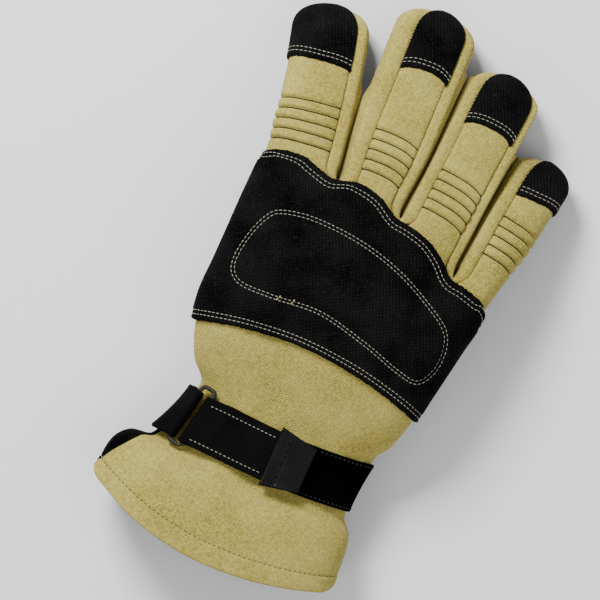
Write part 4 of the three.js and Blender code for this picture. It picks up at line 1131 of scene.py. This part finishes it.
def makeGuard():
    look = guardLook
    angles = clustered(sideAngle + 0.05, math.pi - sideAngle - 0.05, look["columns"], 0.45)[None, :]
    share = clustered(0, 1, look["rows"], 0.35)[:, None]
    y = guardPlace(angles, share)
    flat = bodyAt(y, angles)
    frayed = ripple(flat[..., 0], share * 90, 61, 1.7) + 0.6 * ripple(flat[..., 0], share * 90, 67, 7)
    y = y + look["fuzz"] * (hump(share, 0.02) + hump(1 - share, 0.02)) * frayed
    relief = guardRelief(flat[..., 0], flat[..., 1])
    return panel(overTop, y, np.broadcast_to(angles, y.shape), look, relief)


def onGuard(x, y, lift):
    return overTop(y, angleAt(y, x), guardRelief(x, y) + lift)


def guardEdgeStitches(edge, inset):
    # A row that follows one of the guard's edges, from seam to seam
    angles = np.linspace(sideAngle + 0.12, math.pi - sideAngle - 0.12, 500)
    y = guardPlace(angles, np.full(500, 1.0 if edge == "front" else 0.0))
    x = bodyAt(y, angles)[:, 0]
    curve = curves[edge]
    ahead = np.gradient(curve, axis=0)
    square = np.stack([ahead[:, 1], -ahead[:, 0]], 1) / np.linalg.norm(ahead, axis=1)[:, None]
    moved = curve + square * (inset if edge == "front" else -inset)
    keep = np.concatenate([[True], np.diff(np.maximum.accumulate(moved[:, 0])) > 1e-6])
    y = np.interp(x, moved[keep, 0], moved[keep, 1])
    flat = bodyAt(y, angles)
    return stitches(overTop(y, angles, guardRelief(flat[:, 0], flat[:, 1]) + 0.1), **whiteRow)


def padStitches(inset):
    path = curves["pad"]
    following = np.roll(path[:-1], -1, 0) - np.roll(path[:-1], 1, 0)
    inward = np.stack([-following[:, 1], following[:, 0]], 1)
    inward /= np.linalg.norm(inward, axis=1)[:, None]
    sign = 1 if padDepth(path[:1, 0] + inward[:1, 0], path[:1, 1] + inward[:1, 1])[0] > 0 else -1
    moved = path[:-1] + sign * inset * inward
    moved = evenly(np.vstack([moved, moved[:1]]), 600)
    return stitches(onGuard(moved[:, 0], moved[:, 1], 0.1), **whiteRow)


guard = clothPiece("knuckle_pad", makeGuard(), doubledKnit, "knuckle_guard")
guardRows = [guardEdgeStitches(edge, inset) for edge in ("front", "rear")
             for inset in guardLook[f"rows of stitches, {edge}"]]
guardRows += [padStitches(inset) for inset in guardLook["rows of stitches, pad"]]
threadPiece("guard_stitching", guardRows, whiteThread)

barTacks = [((-28.5, 77.2), (-26.8, 80.6)), ((-20.6, 78.4), (-19.4, 81.9))]  # yellow tacks on the field's edge
tackRows = []
for start, end in barTacks:
    line = np.linspace(start, end, 9)
    tackRows.append(stitches(onGuard(line[:, 0], line[:, 1], 0.3), 1.5, 0.3, 0.34))
threadPiece("bar_tacks", tackRows, yellowThread)


# Fingertip caps

capLook = {"rise": 1.5, "bow": 0.09, "columns": 84, "fuzz": 0.4, "rows of stitches": (2.2, 4.3), "groove": 0.35,
           "crown": 0.5, "edge": 1.0, "roll": 0.9, "wall": -0.35}


def capEdge(name, across):
    # Where a cap starts along its finger: further back at the sides
    f = fingers[name]
    return 1 - f["cap"] / f["length"] - capLook["bow"] * f["width"] / f["length"] * across ** 2


def makeCap(name):
    # Over the finger's back and round its tip, with a frayed edge
    right, left = fingerSeams(name)
    across = clustered(-1, 1, capLook["columns"], 0.5)[None, :]
    angles = (right + 0.02) + (left - right - 0.04) * (across + 1) / 2
    share = np.concatenate([np.linspace(0, 0.6, 40), toTip(0.4, 30, 0.04)])
    f = fingers[name]
    frayed = ripple(angles * 20, 0, 70 + len(name), 1.8) + 0.6 * ripple(angles * 20, 0, 80 + len(name), 6)
    start = capEdge(name, across) + capLook["fuzz"] * frayed / f["length"]
    s = start + (1 - start) * share[:, None]
    waves = 0.2 * ripple(s * f["length"], angles * 10, 40 + len(name), 18)
    fromEdge = (s - start) * f["length"]
    groove = capLook["groove"] * sum(hump(fromEdge - row, 0.6) for row in capLook["rows of stitches"])
    crown = capLook["crown"] * smooth(fromEdge, 6, 14) * smooth(1 - np.abs(across), 0, 0.5)
    return panel(partial(fingerSkin, name), s, angles, capLook, capLook["rise"] + waves - groove + crown)


def capStitches(name, inset):
    right, left = fingerSeams(name)
    across = np.linspace(-0.95, 0.95, 120)
    angles = right + (left - right) * (across + 1) / 2
    s = capEdge(name, across) + inset / fingers[name]["length"]
    return stitches(fingerSkin(name, s, angles, capLook["rise"] + 0.05), **whiteRow)


for name in fingers:
    clothPiece(f"tip_{name}", makeCap(name), doubledKnit, f"cap_{name}")
threadPiece("cap_stitching", [capStitches(name, inset) for name in fingers
                              for inset in capLook["rows of stitches"]], whiteThread)


# Strap, anchor, ring and tab at the wrist

strapLook = {"width": glove["strapWidth"], "thickness": 1.6, "gap": 0.5, "wire": 2.4, "ringSpan": 8.6,
             "barAngle": 131.6, "barTwist": 2.8, "farBarTurn": 13, "clear": 0.3, "columns": 31,
             "whiteRows": (-10.8, 10.4), "edgeRows": (-12.4, 12.4)}
tabLook = {"length": 19.0, "width": 34.0, "thickness": 1.3, "taper": 0.24, "end": 0.03 * wrist,
           "stitchAt": 0.32, "rim": 0.4, "rimAt": 1.3, "groove": 0.35}
half = strapLook["width"] / 2
layer = strapLook["gap"] + strapLook["thickness"] / 2
barRise = strapLook["gap"] + strapLook["thickness"] + strapLook["clear"] + strapLook["wire"] / 2
foldRadius = strapLook["wire"] / 2 + strapLook["clear"] + strapLook["thickness"] / 2


# The ring's two bars and the directions along them, away from the glove and across the ring

def overBar(side, turn, rise):
    return bodySkin(side * half, math.radians(strapLook["barAngle"] + strapLook["barTwist"] * side + turn), rise)


barFront, barRear = overBar(1, 0, barRise), overBar(-1, 0, barRise)
barMiddle = (barFront + barRear) / 2
farRise = barRise + 2 * strapLook["gap"]
farMiddle = (overBar(1, strapLook["farBarTurn"], farRise) + overBar(-1, strapLook["farBarTurn"], farRise)) / 2
alongWay = (barFront - barRear) / np.linalg.norm(barFront - barRear)
outWay = np.cross(alongWay, farMiddle - barMiddle)
outWay /= np.linalg.norm(outWay)
acrossWay = np.cross(outWay, alongWay)


def ringBar(y, away):
    point = barMiddle + away * acrossWay
    return point + alongWay * (y - barMiddle[1]) / alongWay[1]


def foldRound(y, away, side):
    turn = np.radians(np.linspace(-90, 90, 13))[:, None]
    return ringBar(y, away) + foldRadius * (np.sin(turn) * outWay + side * np.cos(turn) * acrossWay)


def layers(y, lower, away, side, upper):
    # Middle of the webbing at one place across its width: round the wrist, round a bar, and back over
    first = bodySkin(y, np.radians(lower), layer)
    last = np.array([bodySkin(y, math.radians(angle), rise) for angle, rise in upper])
    return np.vstack([first, foldRound(y, away, side), last])


def webbingGrid(lower, away, side, upper, rows):
    places = clustered(-half, half, strapLook["columns"], 0.5)
    return np.stack([spline(layers(y, lower, away, side, upper), rows) for y in places], 1)


def ribbonMesh(grid, thickness, roll=0.7, relief=0.0):
    # A band of even thickness about a grid of points, with rounded edges
    ahead = np.gradient(grid, axis=0)
    side = np.gradient(grid, axis=1)
    normal = np.cross(side, ahead)
    normal /= np.maximum(np.linalg.norm(normal, axis=2), 1e-9)[..., None]
    run = np.linalg.norm(grid - grid[:, :1], axis=2)
    end = np.cumsum(np.linalg.norm(np.diff(grid, axis=0, prepend=grid[:1]), axis=2), axis=0)
    near = np.minimum(np.minimum(run, run[:, -1:] - run), np.minimum(end, end[-1:] - end))
    depth = thickness / 2 * (0.25 + 0.75 * edgeRoll(near, roll))
    inner = grid - normal * depth[..., None]
    return facing(shellMesh(grid + normal * (depth + relief)[..., None], inner)), inner


tabUnder = strapLook["gap"] + strapLook["thickness"] + strapLook["clear"] + tabLook["thickness"] / 2
strapOver = tabUnder + tabLook["thickness"] / 2 + strapLook["clear"] + strapLook["thickness"] / 2
tabOver = strapOver + strapLook["thickness"] / 2 + strapLook["clear"] + tabLook["thickness"] / 2
upper = layer + strapLook["thickness"] + strapLook["clear"]
# Degrees round the wrist for the layer that lies on it, then degrees and rise for the one folded back
strapGrid = webbingGrid(np.array([-54, -36, -18, 0, 18, 36, 54, 72, 90, 108, 121]), 0, 1,
                        [(117, upper + 1.8), (110, upper), (100, upper), (93, strapOver), (83, strapOver)], 300)
anchorGrid = webbingGrid(np.array([234, 216, 198, 180, 162]), strapLook["ringSpan"], -1,
                         [(158, upper + 2.9), (167, upper), (180, upper)], 130)
strapMesh, strapInner = ribbonMesh(strapGrid, strapLook["thickness"])
anchorMesh, _ = ribbonMesh(anchorGrid, strapLook["thickness"])
strapWeb, loopFace = cloths["strapWeb"], cloths["loopFace"]
for label, grid in (("strap", strapGrid), ("anchor loop", anchorGrid)):
    middle = grid[:, strapLook["columns"] // 2]
    print(label, round(float(np.linalg.norm(np.diff(middle, axis=0), axis=1).sum())), "mm long")
makePiece("wrist_band", [strapMesh], [loopFace, strapWeb], ["wrist_strap"])
makePiece("anchor_band", [anchorMesh], [strapWeb, strapWeb], ["anchor_loop"])


def makeRing():
    # A rectangle with round corners, carried round by a round wire
    span, corner = strapLook["ringSpan"] / 2, strapLook["wire"]
    reach = half + corner + 2 * strapLook["clear"]
    path = []
    for number in range(4):
        signAcross, signAlong = (1 if number in (0, 3) else -1), (1 if number < 2 else -1)
        for turn in np.radians(90 * (number + np.linspace(0, 1, 7))):
            across = signAcross * (span - corner) + corner * math.cos(turn)
            along = signAlong * (reach - corner) + corner * math.sin(turn)
            path.append(barMiddle + span * acrossWay + across * acrossWay + along * alongWay)
    points, faces = tubeMesh(np.array(path), strapLook["wire"] / 2, 14)
    return facing((points, faces, 0))


makePiece("wrist_ring", [makeRing()], [ringCoat], ["strap_ring"], tidy=False)


def tabRow():
    # Where the tab's row of stitches runs, near its fixed end
    y = np.linspace(-0.86, 0.86, 60) * tabLook["width"] / 2 * (1 - tabLook["stitchAt"] * tabLook["taper"])
    x = tabLook["end"] + tabLook["stitchAt"] * tabLook["length"]
    return bodySkin(y, angleAt(y, x), tabOver + tabLook["thickness"] / 2)


def makeTab():
    # Rubber folded round the strap's free end, narrower at its fold
    look = tabLook
    half, fold = look["width"] / 2, (tabOver - tabUnder) / 2
    middle, foldReach = (tabOver + tabUnder) / 2, 1 - (tabOver - tabUnder) / 2 / look["length"]

    def point(side, reach, rise):
        y = side * half * (1 - look["taper"] * reach)
        return bodySkin(y, angleAt(y, look["end"] + reach * look["length"]), rise)
    turns = np.radians(np.linspace(-60, 60, 9))
    leaf = ([(0.3, tabUnder), (0.55, tabUnder), (foldReach, tabUnder)]
            + [(foldReach + fold / look["length"] * math.cos(t), middle + fold * math.sin(t)) for t in turns]
            + [(foldReach, tabOver), (0.55, tabOver), (0.25, tabOver), (0, tabOver)])
    sides = clustered(-1, 1, 35, 0.6)
    grid = np.stack([spline([point(side, *place) for place in leaf], 90) for side in sides], 1)
    toSide = (1 - np.abs(sides)) * half
    toEnd = np.linalg.norm(grid - grid[-1], axis=2)
    rim = look["rim"] * np.maximum(hump(toSide - look["rimAt"], 0.8)[None, :], hump(toEnd - look["rimAt"], 0.8))
    toRow = np.linalg.norm(grid[:, :, None] - tabRow()[::3], axis=3).min(2)
    groove = look["groove"] * hump(np.clip(toRow - 0.8, 0, None), 0.9)
    return ribbonMesh(grid, look["thickness"], 0.8, relief=rim - groove)[0]


makePiece("pull_tab_rubber", [makeTab()], [tabRubber, tabRubber], ["pull_tab"])


def edgeRow(y):
    # Along the strap's lower layer, near one of its edges
    angles = np.radians(np.linspace(66, -30, 60))
    return stitches(bodySkin(y, angles, layer + strapLook["thickness"] / 2 + 0.06), 1.2, 1.4, 0.3)


def bandRow(place):
    # Along the outer face of the strap's upper layer, from its fold round the ring to the pull tab
    column = int(np.argmin(np.abs(clustered(-half, half, strapLook["columns"], 0.5) - place)))
    fold = int(np.argmin(strapGrid[:, column, 0]))
    upperRun = np.arange(fold + 9, len(strapGrid))
    path = strapInner[upperRun, column]
    return stitches(path[path[:, 0] < tabLook["end"] - 0.5], lift=0.05, **whiteRow)


threadPiece("strap_stitching", [bandRow(place) for place in strapLook["whiteRows"]], whiteThread)
threadPiece("strap_edge_stitching", [edgeRow(y) for y in strapLook["edgeRows"]], greyThread)
threadPiece("tab_stitching", [stitches(tabRow(), 2.6, 1.1, 0.6, 0.0)], blackThread)


# Floor, light and camera

def makeFloor():
    mesh = bpy.data.meshes.new("floor")
    reach = 3.0
    mesh.from_pydata([(-reach, -reach, 0), (reach, -reach, 0), (reach, reach, 0), (-reach, reach, 0)], [],
                     [(0, 1, 2, 3)])
    floor = bpy.data.objects.new("floor", mesh)
    bpy.context.scene.collection.objects.link(floor)
    material = bpy.data.materials.new("paleFloor")
    material.use_nodes = True
    shader = material.node_tree.nodes["Principled BSDF"]
    shader.inputs["Base Color"].default_value = (0.9, 0.9, 0.9, 1)
    shader.inputs["Roughness"].default_value = 0.8
    mesh.materials.append(material)
    return floor


makeFloor()

lamps = [  # place, size, power, in metres and watts; all look at the glove
    ("key", (-0.85, 0.75, 1.05), 0.55, 40.0),
    ("fill", (0.9, -0.3, 1.2), 1.2, 7.0),
    ("low", (-0.3, -1.0, 0.7), 0.9, 4.0),
]


def lookAt(place, target):
    return (Vector(target) - Vector(place)).to_track_quat("-Z", "Y").to_euler()


for name, place, size, power in lamps:
    lamp = bpy.data.lights.new(name, "AREA")
    lamp.size = size
    lamp.energy = power
    holder = bpy.data.objects.new(name, lamp)
    holder.location = place
    holder.rotation_euler = lookAt(place, (0, 0, 0.03))
    bpy.context.scene.collection.objects.link(holder)

world = bpy.data.worlds.new("studio")
world.use_nodes = True
background = world.node_tree.nodes["Background"]
background.inputs["Color"].default_value = (0.95, 0.97, 1.0, 1)
background.inputs["Strength"].default_value = 0.4
bpy.context.scene.world = world

view = {"middle": (-0.0201, -0.0121), "height": 3.54, "turn": 25.0, "lens": 389.0}
lens = bpy.data.cameras.new("camera")
lens.lens = view["lens"]
lens.sensor_width = 36
camera = bpy.data.objects.new("camera", lens)
camera.location = (*view["middle"], view["height"])
camera.rotation_euler = (0, 0, math.radians(view["turn"]))
bpy.context.scene.collection.objects.link(camera)
bpy.context.scene.camera = camera

total = sum(len(piece.data.polygons) for piece in made.values())
print("pieces", len(made), "faces", total)
